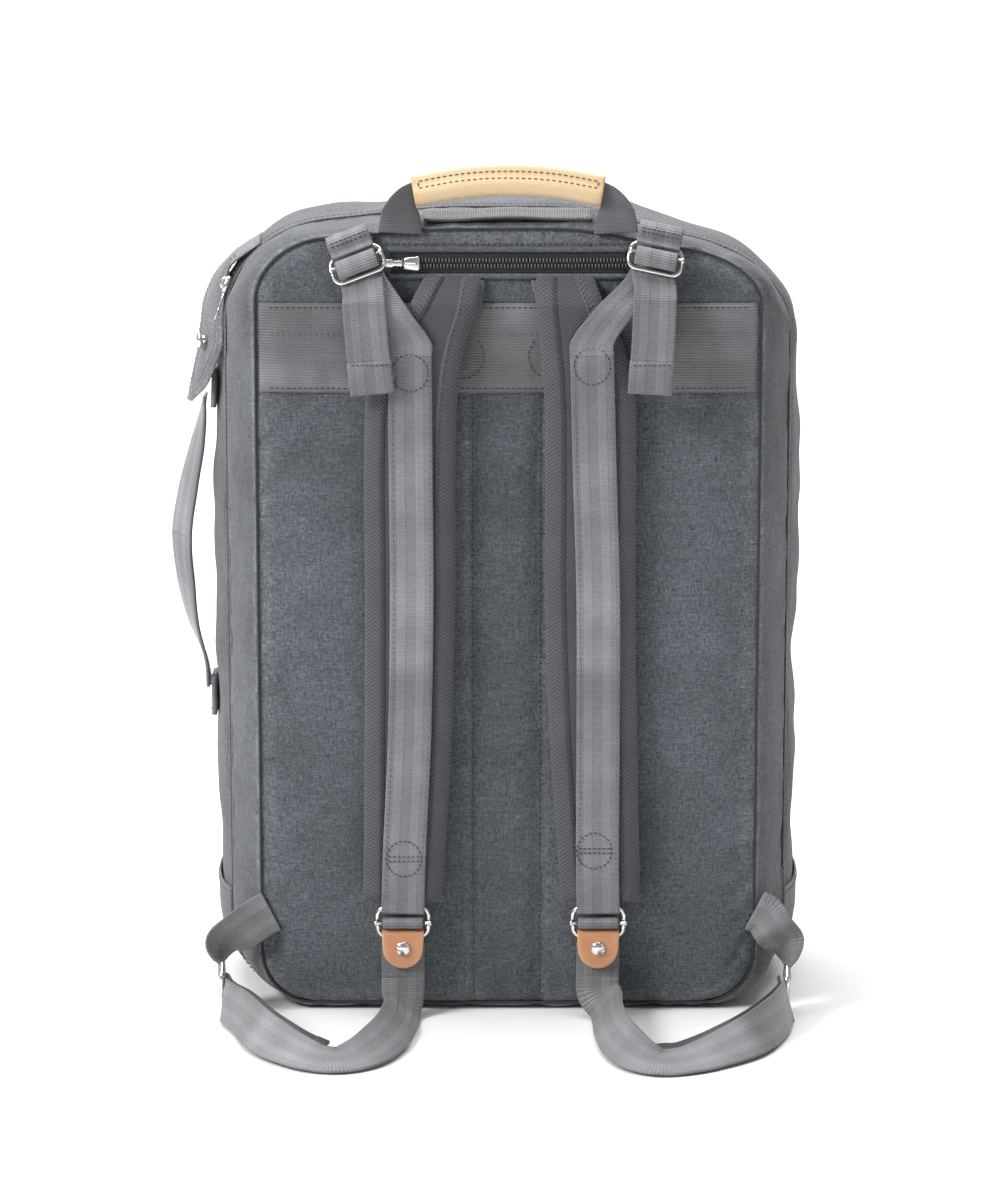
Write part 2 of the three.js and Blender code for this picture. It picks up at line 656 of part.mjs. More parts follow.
function buildLowerWebbing(side, sign) {
  const { name, end, glide } = side;
  const u = vec(0, 0.66, -0.75);
  const v = vec(0, 0.75, 0.66);
  add("lower_buckle_" + name, wireFrame(glide, u, v, 30, 15, 5), nickel());

  const inward = vec(-sign, 0, 0);
  const topAcross = inward.clone();
  const descent = [[0, 44], [0, 34], [0.8, 25], [3.5, 15.5]].map(([out, z]) => vec(end, RING_Y - out, z));
  const layer = lowerLoop(side, 0);
  const route = [...descent, ...layer.map((p) => p.centre)];
  const leaning = topAcross.clone().add(vec(0, 0, -0.4));
  const across = [topAcross, topAcross, topAcross, leaning, ...layer.map((p) => p.width)];
  add("lower_webbing_" + name, ribbon({ route, across, steps: 44 }), webbing());

  const inner = lowerLoop(side, 1).slice(2).reverse();
  const first = glide.clone().addScaledVector(v, -13).add(vec(-sign * 5, -1, 3.5));
  const returnRoute = [first, ...inner.map((p) => p.centre)];
  const returnAcross = [u, ...inner.map((p) => p.width)];
  add("webbing_return_" + name, ribbon({ route: returnRoute, across: returnAcross, steps: 26 }), webbing());

  const seamAcross = vec(0.8 * -sign, 0, -0.6);
  const turnAcross = vec(0.5 * -sign, 0.45, -0.65);
  const seam = vec(sign * 144, BACK_Y - 2.6, 57);
  const upper = glide.clone().addScaledVector(v, 12).add(vec(sign * 2.4, -3, 1));
  const corner = [seam, vec(sign * 155, BACK_Y - 5.5, 50), vec(glide.x + sign * 0.5, BACK_Y - 1.5, 40), upper];
  const cornerAcross = [seamAcross, seamAcross, turnAcross, u];
  add("corner_webbing_" + name, ribbon({ route: corner, across: cornerAcross, steps: 10 }), webbing());
}

buildBody();
buildTopPocket();
buildFrontPocket();
buildMainSlider();
buildStrapBand();
buildStormFlap();
buildSideHandle();
buildHandle();
SIDES.forEach(buildStrap);

export default root;
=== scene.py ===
import math

import bpy
import numpy as np
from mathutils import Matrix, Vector, noise
from mathutils.bvhtree import BVHTree


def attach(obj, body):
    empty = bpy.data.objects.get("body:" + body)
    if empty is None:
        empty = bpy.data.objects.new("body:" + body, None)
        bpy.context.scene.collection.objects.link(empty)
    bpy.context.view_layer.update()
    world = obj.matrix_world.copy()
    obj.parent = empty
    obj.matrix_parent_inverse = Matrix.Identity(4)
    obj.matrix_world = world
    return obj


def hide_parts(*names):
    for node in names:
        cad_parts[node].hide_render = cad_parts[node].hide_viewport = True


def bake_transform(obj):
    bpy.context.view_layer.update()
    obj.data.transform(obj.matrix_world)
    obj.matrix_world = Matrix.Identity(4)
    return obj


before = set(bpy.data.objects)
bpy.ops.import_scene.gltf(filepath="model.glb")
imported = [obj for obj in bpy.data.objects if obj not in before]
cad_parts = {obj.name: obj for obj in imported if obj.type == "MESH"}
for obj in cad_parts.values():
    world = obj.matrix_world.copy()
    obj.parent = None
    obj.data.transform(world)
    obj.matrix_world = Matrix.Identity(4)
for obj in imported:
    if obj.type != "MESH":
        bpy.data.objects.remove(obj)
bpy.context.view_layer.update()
scene = bpy.context.scene

# Sizes are in millimetres until MM turns them into metres.
MM = 0.001
BACK_Y = -80.0
PANEL_HALF, PANEL_LOW, PANEL_TOP = 143.0, 4.4, 459.1
BAG_TOP = 469.0
CHANNEL_X = (-20.1, 18.4)
CHANNEL_MIDDLE, CHANNEL_TOP = -0.8, 364.0
BAND_LOW, BAND_HIGH = 367.0, 418.0
BOOT_HEIGHT = 62.0
WEB = 25.0
TOP_ZIP_Z, FRONT_ZIP_Z = 441.0, 342
X_AXIS = np.array([1.0, 0.0, 0.0])
Y_AXIS = np.array([0.0, 1.0, 0.0])
Z_AXIS = np.array([0.0, 0.0, 1.0])
BAG_MIDDLE = np.array([0.0, 0.0, 230.0])


def vec(*v):
    return np.array(v, float)


def unit(v):
    v = np.asarray(v, float)
    return v / np.maximum(np.linalg.norm(v, axis=-1, keepdims=True), 1e-12)


# Camera and light

camera_data = bpy.data.cameras.new("camera")
camera = bpy.data.objects.new("camera", camera_data)
scene.collection.objects.link(camera)
camera.location = (-0.0046, -2.58, 0.8)
camera.rotation_euler = (math.radians(77.5), 0, 0)
camera_data.sensor_fit = "VERTICAL"
camera_data.sensor_height = 36
camera_data.sensor_width = 36
camera_data.lens = 133.7
camera_data.clip_end = 50
scene.camera = camera
scene.view_settings.view_transform = "Standard"
scene.view_settings.look = "None"


def area_light(name, place, aim, size, power):
    data = bpy.data.lights.new(name, "AREA")
    data.shape = "RECTANGLE"
    data.size, data.size_y = size
    data.energy = power
    lamp = bpy.data.objects.new(name, data)
    scene.collection.objects.link(lamp)
    lamp.location = place
    lamp.rotation_euler = (Vector(aim) - Vector(place)).to_track_quat("-Z", "Y").to_euler()


area_light("key", (-2.3, -1.35, 2.1), (0, 0, 0.25), (1.1, 1.1), 100)
area_light("fill", (2.2, -1.6, 1.2), (0, 0, 0.2), (1.6, 1.8), 4)
area_light("top", (0, 0.3, 2.6), (0, 0, 0.2), (2.4, 2.0), 96)
area_light("back", (-0.4, 2.4, 1.9), (0, 0, 0.3), (2.2, 1.4), 34)

world = bpy.data.worlds.new("studio")
world.use_nodes = True
world.node_tree.nodes["Background"].inputs["Color"].default_value = (1, 1, 1, 1)
world.node_tree.nodes["Background"].inputs["Strength"].default_value = 0.26
scene.world = world


# Materials

class Graph:
    """A material's node tree, with short calls to add nodes and join them."""

    def __init__(self, name):
        self.material = bpy.data.materials.new(name)
        self.material.use_nodes = True
        self.tree = self.material.node_tree
        self.tree.nodes.clear()
        self.bsdf = self.node("ShaderNodeBsdfPrincipled")
        output = self.node("ShaderNodeOutputMaterial")
        self.tree.links.new(self.bsdf.outputs[0], output.inputs[0])

    def node(self, kind, inputs=None, **settings):
        made = self.tree.nodes.new(kind)
        for key, value in settings.items():
            setattr(made, key, value)
        for key, value in (inputs or {}).items():
            self.put(made.inputs[key], value)
        return made

    def put(self, socket, value):
        if isinstance(value, bpy.types.NodeSocket):
            self.tree.links.new(value, socket)
        else:
            socket.default_value = value

    def math(self, operation, a, b=0.0, clamp=False):
        made = self.node("ShaderNodeMath", operation=operation, use_clamp=clamp)
        self.put(made.inputs[0], a)
        self.put(made.inputs[1], b)
        return made.outputs[0]

    def uv(self):
        source = self.node("ShaderNodeUVMap")
        split = self.node("ShaderNodeSeparateXYZ", {0: source.outputs[0]})
        return source.outputs[0], split.outputs[0], split.outputs[1]

    def noise(self, vector, scale, detail=3.0, roughness=0.6, stretch=(1, 1, 1)):
        mapped = self.node("ShaderNodeMapping", {"Vector": vector, "Scale": stretch})
        made = self.node(
            "ShaderNodeTexNoise",
            {"Vector": mapped.outputs[0], "Scale": scale, "Detail": detail, "Roughness": roughness},
        )
        return made.outputs[0]

    def wave(self, value, period, sharp=1.0):
        """A ridge that repeats every period along value, from 0 to 1."""
        turn = self.math("MULTIPLY", value, 2 * math.pi / period)
        lifted = self.math("MULTIPLY_ADD", self.math("SINE", turn), 0.5)
        lifted.node.inputs[2].default_value = 0.5
        return lifted if sharp == 1.0 else self.math("POWER", lifted, sharp)

    def ramp(self, value, low, high, start=0.0, end=1.0):
        made = self.node("ShaderNodeMapRange", {"Value": value})
        for key, number in (("From Min", low), ("From Max", high), ("To Min", start), ("To Max", end)):
            made.inputs[key].default_value = number
        return made.outputs[0]

    def shade(self, colour, amount):
        """colour times amount, where amount is a value socket."""
        rgb = self.node("ShaderNodeRGB")
        rgb.outputs[0].default_value = (*colour, 1)
        made = self.node("ShaderNodeVectorMath", operation="SCALE")
        self.put(made.inputs[0], rgb.outputs[0])
        self.put(made.inputs["Scale"], amount)
        return made.outputs[0]

    def mix(self, factor, a, b):
        made = self.node("ShaderNodeMix", data_type="RGBA")
        self.put(made.inputs[0], factor)
        self.put(made.inputs[6], a)
        self.put(made.inputs[7], b)
        return made.outputs[2]

    def bump(self, height, distance, strength=1.0):
        made = self.node("ShaderNodeBump", {"Height": height, "Strength": strength})
        made.inputs["Distance"].default_value = distance
        self.put(self.bsdf.inputs["Normal"], made.outputs[0])

    def sheen(self, weight, roughness):
        self.bsdf.inputs["Sheen Weight"].default_value = weight
        self.bsdf.inputs["Sheen Roughness"].default_value = roughness

    def colour(self, socket):
        self.put(self.bsdf.inputs["Base Color"], socket)

    def roughness(self, value, low, high, start, end):
        self.put(self.bsdf.inputs["Roughness"], self.ramp(value, low, high, start, end))


def canvas(name, colour, faded, fade, contrast):
    """Washed waxed canvas: crossed threads, slubs and cloudy fading. Its per-point value fades it pale above
    0, for wear, and darkens it below 0, as painted shade.
    """
    g = Graph(name)
    uv, u, v = g.uv()
    warp = g.noise(uv, 1400, 2, 0.5, (1, 0.16, 1))
    weft = g.noise(uv, 1400, 2, 0.5, (0.16, 1, 1))
    grain = g.noise(uv, 620, 4, 0.7)
    clouds = g.noise(uv, 14, 5, 0.62)
    slubs = g.ramp(g.noise(uv, 260, 3, 0.6, (0.22, 1, 1)), 0.56, 0.8)
    streaks = g.math("ADD", g.noise(uv, 520, 3, 0.6, (0.12, 1, 1)), g.noise(uv, 520, 3, 0.6, (1, 0.12, 1)))
    threads = g.math("ADD", warp, weft)
    value = g.math("ADD", g.math("MULTIPLY", threads, 0.5), g.math("MULTIPLY", grain, 0.8))
    shade = g.ramp(value, 0.62, 1.18, 1 - contrast, 1 + contrast)
    shade = g.math("MULTIPLY", shade, g.ramp(streaks, 0.75, 1.25, 0.84, 1.2))
    shade = g.math("MULTIPLY", shade, g.ramp(clouds, 0.3, 0.72, 0.7, 1.3))
    shade = g.math("ADD", shade, g.math("MULTIPLY", slubs, 0.2))
    pale = g.shade(faded, shade)
    wear_and_shade = g.node("ShaderNodeAttribute", attribute_name="wear_and_shade").outputs["Fac"]
    # Painted shade: values below 0 darken the cloth.
    shade = g.math("MULTIPLY", shade, g.ramp(wear_and_shade, -1, 0, 0.82, 1))
    base = g.shade(colour, shade)
    patchy = g.math("MULTIPLY", wear_and_shade, g.ramp(g.noise(uv, 90, 4, 0.7), 0.32, 0.66))
    factor = g.math("MULTIPLY", patchy, fade, clamp=True)
    g.colour(g.mix(factor, base, pale))
    g.roughness(grain, 0.3, 0.7, 0.8, 0.96)
    ribs = g.math("ADD", g.wave(u, 0.0007), g.wave(v, 0.0007))
    creases = g.noise(uv, 34, 4, 0.55)
    height = g.math("ADD", g.math("MULTIPLY", ribs, 0.2), g.math("MULTIPLY", threads, 0.7))
    height = g.math("ADD", height, g.math("MULTIPLY", creases, 5.0))
    g.bump(height, 0.0003, 0.75)
    g.sheen(0.12, 0.6)
    return g.material


def webbing(name, colour, rib=0.00135, bands=True, sheen=0.25):
    """Woven webbing: ribs across the width, raised lengthwise bands, smooth selvedges, and painted sheen in
    slow patches along its length.
    """
    g = Graph(name)
    uv, u, v = g.uv()
    ribs = g.wave(v, rib, 1.4)
    yarn = g.noise(uv, 1500, 3, 0.6, (1, 0.3, 1))
    clouds = g.noise(uv, 26, 4, 0.6)
    shade = g.math("ADD", g.ramp(ribs, 0, 1, 0.8, 1.1), g.ramp(yarn, 0.3, 0.7, -0.1, 0.1))
    if bands:
        side = g.math("ABSOLUTE", u)
        inner = g.ramp(side, 0.0028, 0.0034)
        outer = g.ramp(side, 0.0074, 0.0080, 1, 0)
        band = g.math("MULTIPLY", inner, outer)
        shade = g.math("ADD", shade, g.math("MULTIPLY", band, 0.14))
        edge = g.ramp(side, 0.0108, 0.0114)
        shade = g.math("SUBTRACT", shade, g.math("MULTIPLY", edge, 0.1))
    shade = g.math("MULTIPLY", shade, g.ramp(clouds, 0.3, 0.7, 0.82, 1.18))
    # Painted sheen: slow lighter and darker patches along the webbing, where its gloss catches the light.
    rubbed_and_sheen = g.noise(uv, 11, 3, 0.5, (0.5, 1, 1))
    shade = g.math("MULTIPLY", shade, g.ramp(rubbed_and_sheen, 0.38, 0.64, 0.72, 1.32))
    g.colour(g.shade(colour, shade))
    g.roughness(ribs, 0, 1, 0.6, 0.42)
    height = g.math("ADD", ribs, g.math("MULTIPLY", yarn, 0.4))
    if bands:
        height = g.math("ADD", height, band)
    g.bump(height, 0.00022, 0.9)
    g.sheen(sheen, 0.35)
    return g.material


def twill(name, colour, period=0.0017, herringbone=0.0):
    """Diagonal twill tape, or herringbone where the diagonal turns back every few millimetres."""
    g = Graph(name)
    uv, u, v = g.uv()
    across = g.math("PINGPONG", u, herringbone) if herringbone else u
    slope = g.math("ADD", v, g.math("MULTIPLY", across, 0.8))
    lines = g.wave(slope, period, 1.3)
    yarn = g.noise(uv, 1300, 3, 0.65)
    clouds = g.noise(uv, 30, 4, 0.6)
    shade = g.math("ADD", g.ramp(lines, 0, 1, 0.72, 1.22), g.ramp(yarn, 0.3, 0.7, -0.12, 0.12))
    shade = g.math("MULTIPLY", shade, g.ramp(clouds, 0.3, 0.7, 0.88, 1.12))
    g.colour(g.shade(colour, shade))
    g.roughness(yarn, 0.3, 0.7, 0.72, 0.9)
    g.bump(g.math("ADD", lines, g.math("MULTIPLY", yarn, 0.5)), 0.0003, 0.9)
    g.sheen(0.15, 0.5)
    return g.material


def leather(name, colour, dark, rough):
    """Fine-grained leather that turns to its second colour where it is worn."""
    g = Graph(name)
    uv = g.uv()[0]
    grain = g.node("ShaderNodeTexVoronoi", {"Vector": uv, "Scale": 1500.0}).outputs["Distance"]
    fine = g.noise(uv, 900, 4, 0.6)
    clouds = g.noise(uv, 55, 5, 0.6)
    wear_and_shade = g.node("ShaderNodeAttribute", attribute_name="wear_and_shade").outputs["Fac"]
    shade = g.math("ADD", g.ramp(fine, 0.3, 0.7, 0.94, 1.05), g.ramp(clouds, 0.35, 0.7, -0.06, 0.05))
    light = g.shade(colour, shade)
    deep = g.shade(dark, shade)
    spots = g.ramp(clouds, 0.42, 0.72, 0, 0.35)
    factor = g.math("ADD", g.math("MULTIPLY", wear_and_shade, 0.85), spots, clamp=True)
    g.colour(g.mix(factor, light, deep))
    g.roughness(fine, 0.3, 0.7, rough - 0.06, rough + 0.1)
    g.bump(g.math("ADD", grain, g.math("MULTIPLY", fine, 0.8)), 0.00012, 0.6)
    return g.material


def metal(name, colour, rough):
    """Plated wire with fine scratches and smudges."""
    g = Graph(name)
    place = g.node("ShaderNodeTexCoord").outputs["Object"]
    scratches = g.noise(place, 700, 3, 0.6, (1, 0.1, 1))
    smudge = g.noise(place, 120, 3, 0.5)
    g.colour(g.shade(colour, g.ramp(smudge, 0.3, 0.7, 0.9, 1.05)))
    g.bsdf.inputs["Metallic"].default_value = 1.0
    g.roughness(scratches, 0.3, 0.7, rough * 0.7, rough * 1.5)
    g.bump(scratches, 0.00004, 0.4)
    return g.material


def plain_cord(name, colour, rough):
    """Sewing thread and coil: fine twisted yarn."""
    g = Graph(name)
    place = g.node("ShaderNodeTexCoord").outputs["Object"]
    yarn = g.noise(place, 2200, 2, 0.6)
    g.colour(g.shade(colour, g.ramp(yarn, 0.3, 0.7, 0.75, 1.25)))
    g.roughness(yarn, 0.3, 0.7, rough - 0.1, rough + 0.1)
    g.bump(yarn, 0.0001, 0.6)
    return g.material


LOOKS = {
    "panel": canvas("panel_canvas", (0.075, 0.085, 0.096), (0.20, 0.21, 0.22), 0.7, 0.9),
    "side": canvas("side_canvas", (0.071, 0.076, 0.084), (0.24, 0.245, 0.26), 0.7, 0.75),
    "boot": canvas("boot_canvas", (0.106, 0.106, 0.113), (0.22, 0.22, 0.23), 0.7, 0.45),
    "flap": canvas("flap_canvas", (0.132, 0.134, 0.145), (0.30, 0.30, 0.31), 0.8, 0.5),
    "webbing": webbing("strap_webbing", (0.205, 0.200, 0.218), sheen=0.35),
    "loop": webbing("loop_webbing", (0.205, 0.202, 0.215), sheen=0.3),
    # Painted shade: inner is a darker copy of the webbing for the return layer, its hem and the handle's base
    # strip, which lie in shade.
    "inner": webbing("painted_shade_webbing", (0.062, 0.061, 0.068), sheen=0.1),
    # Painted shade: shaded is a darker copy of the webbing for the carry handle and the strap roots.
    "shaded": webbing("handle_webbing_painted_shade", (0.098, 0.097, 0.108), 0.0014, False, 0.2),
    "band": webbing("band_webbing", (0.150, 0.143, 0.155), 0.0016, False, 0.3),
    "twill": twill("pad_twill", (0.066, 0.065, 0.074)),
    "binding": twill("binding_twill", (0.072, 0.071, 0.081), 0.0023, 0.0055),
    "tape": twill("zip_tape", (0.022, 0.022, 0.026), 0.0011, 0.0011),
    "coil": plain_cord("zip_coil", (0.085, 0.085, 0.095), 0.36),
    "thread": plain_cord("dark_thread", (0.045, 0.045, 0.052), 0.7),
    "pale_thread": plain_cord("grey_thread", (0.16, 0.16, 0.175), 0.7),
    "grip": leather("grip_leather", (0.70, 0.53, 0.325), (0.56, 0.36, 0.18), 0.42),
    "tan": leather("tab_leather", (0.58, 0.26, 0.125), (0.66, 0.38, 0.21), 0.45),
    "nickel": metal("nickel", (0.82, 0.81, 0.79), 0.2),
}


# Meshes

def mesh_piece(name, points, faces, uvs, look, wear_and_shade=None):
    """A mesh from points in millimetres, faces as index rows and uvs per face corner in metres."""
    mesh = bpy.data.meshes.new(name)
    places = [tuple(p) for p in np.asarray(points, float) * MM]
    mesh.from_pydata(places, [], [tuple(int(i) for i in f) for f in faces])
    if uvs is not None:
        layer = mesh.uv_layers.new(name="UVMap")
        layer.data.foreach_set("uv", np.asarray(uvs, np.float32).ravel())
    if wear_and_shade is not None:
        attribute = mesh.attributes.new("wear_and_shade", "FLOAT", "POINT")
        attribute.data.foreach_set("value", np.asarray(wear_and_shade, np.float32).ravel())
    mesh.polygons.foreach_set("use_smooth", np.full(len(mesh.polygons), True))
    mesh.materials.append(LOOKS[look])
    mesh.update()
    made = bpy.data.objects.new(name, mesh)
    scene.collection.objects.link(made)
    return made


def lengths(points):
    return np.concatenate([[0], np.cumsum(np.linalg.norm(np.diff(points, axis=0), axis=1))])


def grid(name, rows, look, wrap=False, caps=False, uv=None, wear_and_shade=None, inside=None):
    """A surface through rows of points. wrap joins the last column to the first, caps closes both ends.

    Its faces point away from inside, or from the middle of the points."""
    p = np.asarray(rows, float)
    n, m = p.shape[:2]
    if uv is None:
        middle = p[n // 2]
        around = np.vstack([middle, middle[:1]]) if wrap else middle
        us = lengths(around) * MM
        vs = lengths(p[:, m // 2]) * MM
        uv = np.stack(np.broadcast_arrays(us[None, :], vs[:, None]), axis=-1)
    columns = m if wrap else m - 1
    i, j = np.meshgrid(np.arange(n - 1), np.arange(columns), indexing="ij")
    i, j = i.ravel(), j.ravel()
    right = (j + 1) % m
    faces = np.stack([i * m + j, i * m + right, (i + 1) * m + right, (i + 1) * m + j], axis=1)
    corners = np.stack([uv[i, j], uv[i, j + 1], uv[i + 1, j + 1], uv[i + 1, j]], axis=1)
    points = p.reshape(-1, 3)
    a, b, c, d = (points[faces[:, k]] for k in range(4))
    normal = np.cross(c - a, d - b)
    outward = (a + b + c + d) / 4 - (points.mean(0) if inside is None else np.asarray(inside, float))
    flipped = (normal * outward).sum() < 0
    if flipped:
        faces = faces[:, ::-1]
        corners = corners[:, ::-1]
    faces = [tuple(f) for f in faces]
    corners = list(corners.reshape(-1, 2))
    if caps and wrap:
        first = list(range(m))
        last = [(n - 1) * m + k for k in range(m)]
        ends = (first if flipped else first[::-1], last[::-1] if flipped else last)
        for row, ring in zip((0, n - 1), ends):
            faces.append(tuple(ring))
            corners += [uv[row, k % m] for k in ring]
    values = None if wear_and_shade is None else np.asarray(wear_and_shade, float).reshape(-1)
    return mesh_piece(name, points, faces, corners, look, values)


def finish(piece, body, replaces=()):
    """The piece rides on its body and stands for its CAD nodes, which are hidden."""
    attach(piece, body)
    if replaces:
        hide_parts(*replaces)
    return piece


def finish_blend(piece, replaces=()):
    """For a piece between two bodies: its place goes into its mesh, it rides on no body, and it stands for
    its CAD nodes, which are hidden.
    """
    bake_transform(piece)
    if replaces:
        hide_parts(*replaces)


def smooth_over(piece):
    sub = piece.modifiers.new("smooth", "SUBSURF")
    sub.levels = sub.render_levels = 1


def thicken(piece, thickness):
    solid = piece.modifiers.new("thickness", "SOLIDIFY")
    solid.thickness = thickness * MM
    solid.offset = -1


def join_meshes(name, parts, look):
    """One piece from several made with grid()."""
    places, faces, uvs, wears = [], [], [], []
    start = 0
    for part in parts:
        mesh = part.data
        count = len(mesh.vertices)
        co = np.zeros(count * 3)
        mesh.vertices.foreach_get("co", co)
        places.append(co.reshape(-1, 3) / MM)
        layer = np.zeros(len(mesh.loops) * 2)
        mesh.uv_layers[0].data.foreach_get("uv", layer)
        uvs.append(layer.reshape(-1, 2))
        faces += [tuple(v + start for v in f.vertices) for f in mesh.polygons]
        attribute = mesh.attributes.get("wear_and_shade")
        worn = np.zeros(count)
        if attribute:
            attribute.data.foreach_get("value", worn)
        wears.append(worn)
        start += count
        bpy.data.objects.remove(part)
    return mesh_piece(name, np.concatenate(places), faces, np.concatenate(uvs), look, np.concatenate(wears))


def powered(value, power):
    """A signed power, which squares off a circle's cosine or sine."""
    return math.copysign(abs(value) ** power, value)


def squarish(count, power_x, power_y, first=0.0):
    """Points round a circle squared off by the two powers."""
    angles = [(k + first) / count * 2 * math.pi for k in range(count)]
    return [(powered(math.cos(a), power_x), powered(math.sin(a), power_y)) for a in angles]


def curve(points, count):
    """count points, their tangents and their places from 0 to 1 on a centripetal Catmull-Rom curve."""
    p = np.asarray(points, float)
    extended = np.vstack([2 * p[0] - p[1], p, 2 * p[-1] - p[-2]])
    places = np.linspace(0, 1, count)
    found, tangents = [], []
    for t in places:
        x = t * (len(p) - 1)
        k = min(int(x), len(p) - 2)
        w = x - k
        p0, p1, p2, p3 = extended[k:k + 4]
        d0, d1, d2 = (max(np.linalg.norm(b - a) ** 0.5, 1e-6) for a, b in ((p0, p1), (p1, p2), (p2, p3)))
        t1 = ((p1 - p0) / d0 - (p2 - p0) / (d0 + d1) + (p2 - p1) / d1) * d1
        t2 = ((p2 - p1) / d1 - (p3 - p1) / (d1 + d2) + (p3 - p2) / d2) * d1
        c2 = -3 * p1 + 3 * p2 - 2 * t1 - t2
        c3 = 2 * p1 - 2 * p2 + t1 + t2
        found.append(p1 + t1 * w + c2 * w * w + c3 * w ** 3)
        tangents.append(t1 + 2 * c2 * w + 3 * c3 * w * w)
    return np.array(found), unit(np.array(tangents)), places


def along_list(values, places):
    """Values read off an evenly spaced list at places from 0 to 1."""
    values = np.asarray(values, float)
    x = places * (len(values) - 1)
    k = np.minimum(x.astype(int), len(values) - 2)
    w = (x - k)[:, None] if values.ndim > 1 else x - k
    return values[k] * (1 - w) + values[k + 1] * w


def frame_along(route, across, count, sheared=False):
    """Centres, tangents, width directions, normals and places along a curve.

    The width direction turns square to the curve, unless sheared keeps it as given."""
    centre, tangent, places = curve(route, count)
    side = along_list(across, places)
    if not sheared:
        side = side - (side * tangent).sum(1)[:, None] * tangent
    side = unit(side)
    return centre, tangent, side, unit(np.cross(tangent, side)), places


# Webbing's section in shares of its width and thickness, with rounded selvedges
STRIP_SECTION = [
    (-0.5, 0.0), (-0.49, 0.42), (-0.46, 0.5), (-0.34, 0.46), (-0.2, 0.5), (0.0, 0.46),
    (0.2, 0.5), (0.34, 0.46), (0.46, 0.5), (0.49, 0.42), (0.5, 0.0), (0.49, -0.42),
    (0.46, -0.5), (0.2, -0.5), (0.0, -0.46), (-0.2, -0.5), (-0.46, -0.5), (-0.49, -0.42),
]


def strip(name, route, across, look, width=WEB, thick=1.6, count=40, cup=0.0, ripple=0.0, seed=0.0,
          sheared=False):
    """Flat webbing along a route. cup bows it across its width, ripple adds slow waves."""
    centre, _, side, normal, places = frame_along(route, across, count, sheared)
    widths = along_list(width, places) if hasattr(width, "__len__") else np.full(count, float(width))
    far = lengths(centre)
    rows, uv = [], []
    for i in range(count):
        wave = ripple * noise.noise(Vector((far[i] * 0.03, seed, 0.0)))
        ring = []
        for a, b in STRIP_SECTION:
            lift = b * thick + cup * (4 * a * a - 1) * 0.5 + wave
            roll = ripple * 0.7 * a * noise.noise(Vector((far[i] * 0.04, seed + 9.0, 3.0)))
            ring.append(centre[i] + side[i] * a * widths[i] + normal[i] * (lift + roll))
        rows.append(ring)
        row = [(a * widths[i] * MM, far[i] * MM) for a, b in STRIP_SECTION]
        uv.append(row + row[:1])
    return grid(name, rows, look, wrap=True, caps=True, uv=np.array(uv))


def tube(name, points, radius, look, closed=False, sides=10):
    """A round cord along points."""
    p = np.asarray(points, float)
    if closed:
        tangent = unit(np.roll(p, -1, 0) - np.roll(p, 1, 0))
    else:
        tangent = unit(np.gradient(p, axis=0))
    reference = unit(np.cross(tangent[0], Z_AXIS if abs(tangent[0][2]) < 0.9 else X_AXIS))
    angles = np.arange(sides)[:, None] / sides * 2 * math.pi
    rows = []
    for place, forward in zip(p, tangent):
        reference = unit(reference - (reference @ forward) * forward)
        other = np.cross(forward, reference)
        rows.append(place + radius * (np.cos(angles) * reference + np.sin(angles) * other))
    if closed:
        rows.append(rows[0])
    return grid(name, rows, look, wrap=True, caps=not closed)


def turned(name, profile, centre, axis, look, segments=28):
    """A lathe piece from (radius, height) pairs about its own axis."""
    axis = unit(axis)
    helper = X_AXIS if abs(axis[0]) < 0.8 else Z_AXIS
    first = unit(np.cross(axis, helper))
    second = np.cross(axis, first)
    angles = np.arange(segments) / segments * 2 * math.pi
    circle = np.cos(angles)[:, None] * first + np.sin(angles)[:, None] * second
    rows = [np.asarray(centre) + axis * h + circle * max(r, 0.01) for r, h in profile]
    return grid(name, rows, look, wrap=True, caps=True)


# Thread

# A stitch's rings: place along it, share of its radius, and height in radii
STITCH = ((0, 0.5, -0.9), (0.18, 0.95, 0.3), (0.82, 0.95, 0.3), (1, 0.5, -0.9))


class Thread:
    """Sewing stitches gathered by the body they ride on."""

    def __init__(self):
        self.lines = {}

    def sew(self, body, points, outward, pitch=3.4, share=0.66, radius=0.3, look="thread", lift=0.1):
        """Stitches along points. outward is one direction, or one for each point."""
        p = np.asarray(points, float)
        far = lengths(p)
        if far[-1] < 1:
            return
        out = np.broadcast_to(np.asarray(outward, float), p.shape)
        count = max(1, int(round(far[-1] / pitch)))
        starts = (np.arange(count) + 0.5 * (1 - share)) * far[-1] / count
        ends = starts + share * far[-1] / count

        def at(x, values):
            return np.stack([np.interp(x, far, values[:, k]) for k in range(3)], axis=1)

        a, b = at(starts, p), at(ends, p)
        normal = unit(at((starts + ends) / 2, out))
        self.lines.setdefault((body, look), []).append((a, b, normal, radius, lift))

    def build(self):
        angles = np.arange(6) / 6 * 2 * math.pi
        for (body, look), groups in sorted(self.lines.items()):
            points, faces = [], []
            start = 0
            for a, b, normal, radius, lift in groups:
                axis = unit(b - a)
                side = unit(np.cross(axis, normal))
                up = np.cross(side, axis)
                for k in range(len(a)):
                    for t, scale, rise in STITCH:
                        centre = a[k] + (b[k] - a[k]) * t + up[k] * (rise * radius + lift)
                        for angle in angles:
                            away = math.cos(angle) * side[k] + math.sin(angle) * up[k]
                            points.append(centre + radius * scale * away)
                    for r in range(3):
                        for i in range(6):
                            j = (i + 1) % 6
                            s = start + r * 6
                            faces.append((s + i, s + j, s + 6 + j, s + 6 + i))
                    faces.append(tuple(start + i for i in range(5, -1, -1)))
                    faces.append(tuple(start + 18 + i for i in range(6)))
                    start += 24
            piece = mesh_piece("thread_" + look + "_" + body, points, faces, None, look)
            finish(piece, body)


thread = Thread()


# Outlines of the bag

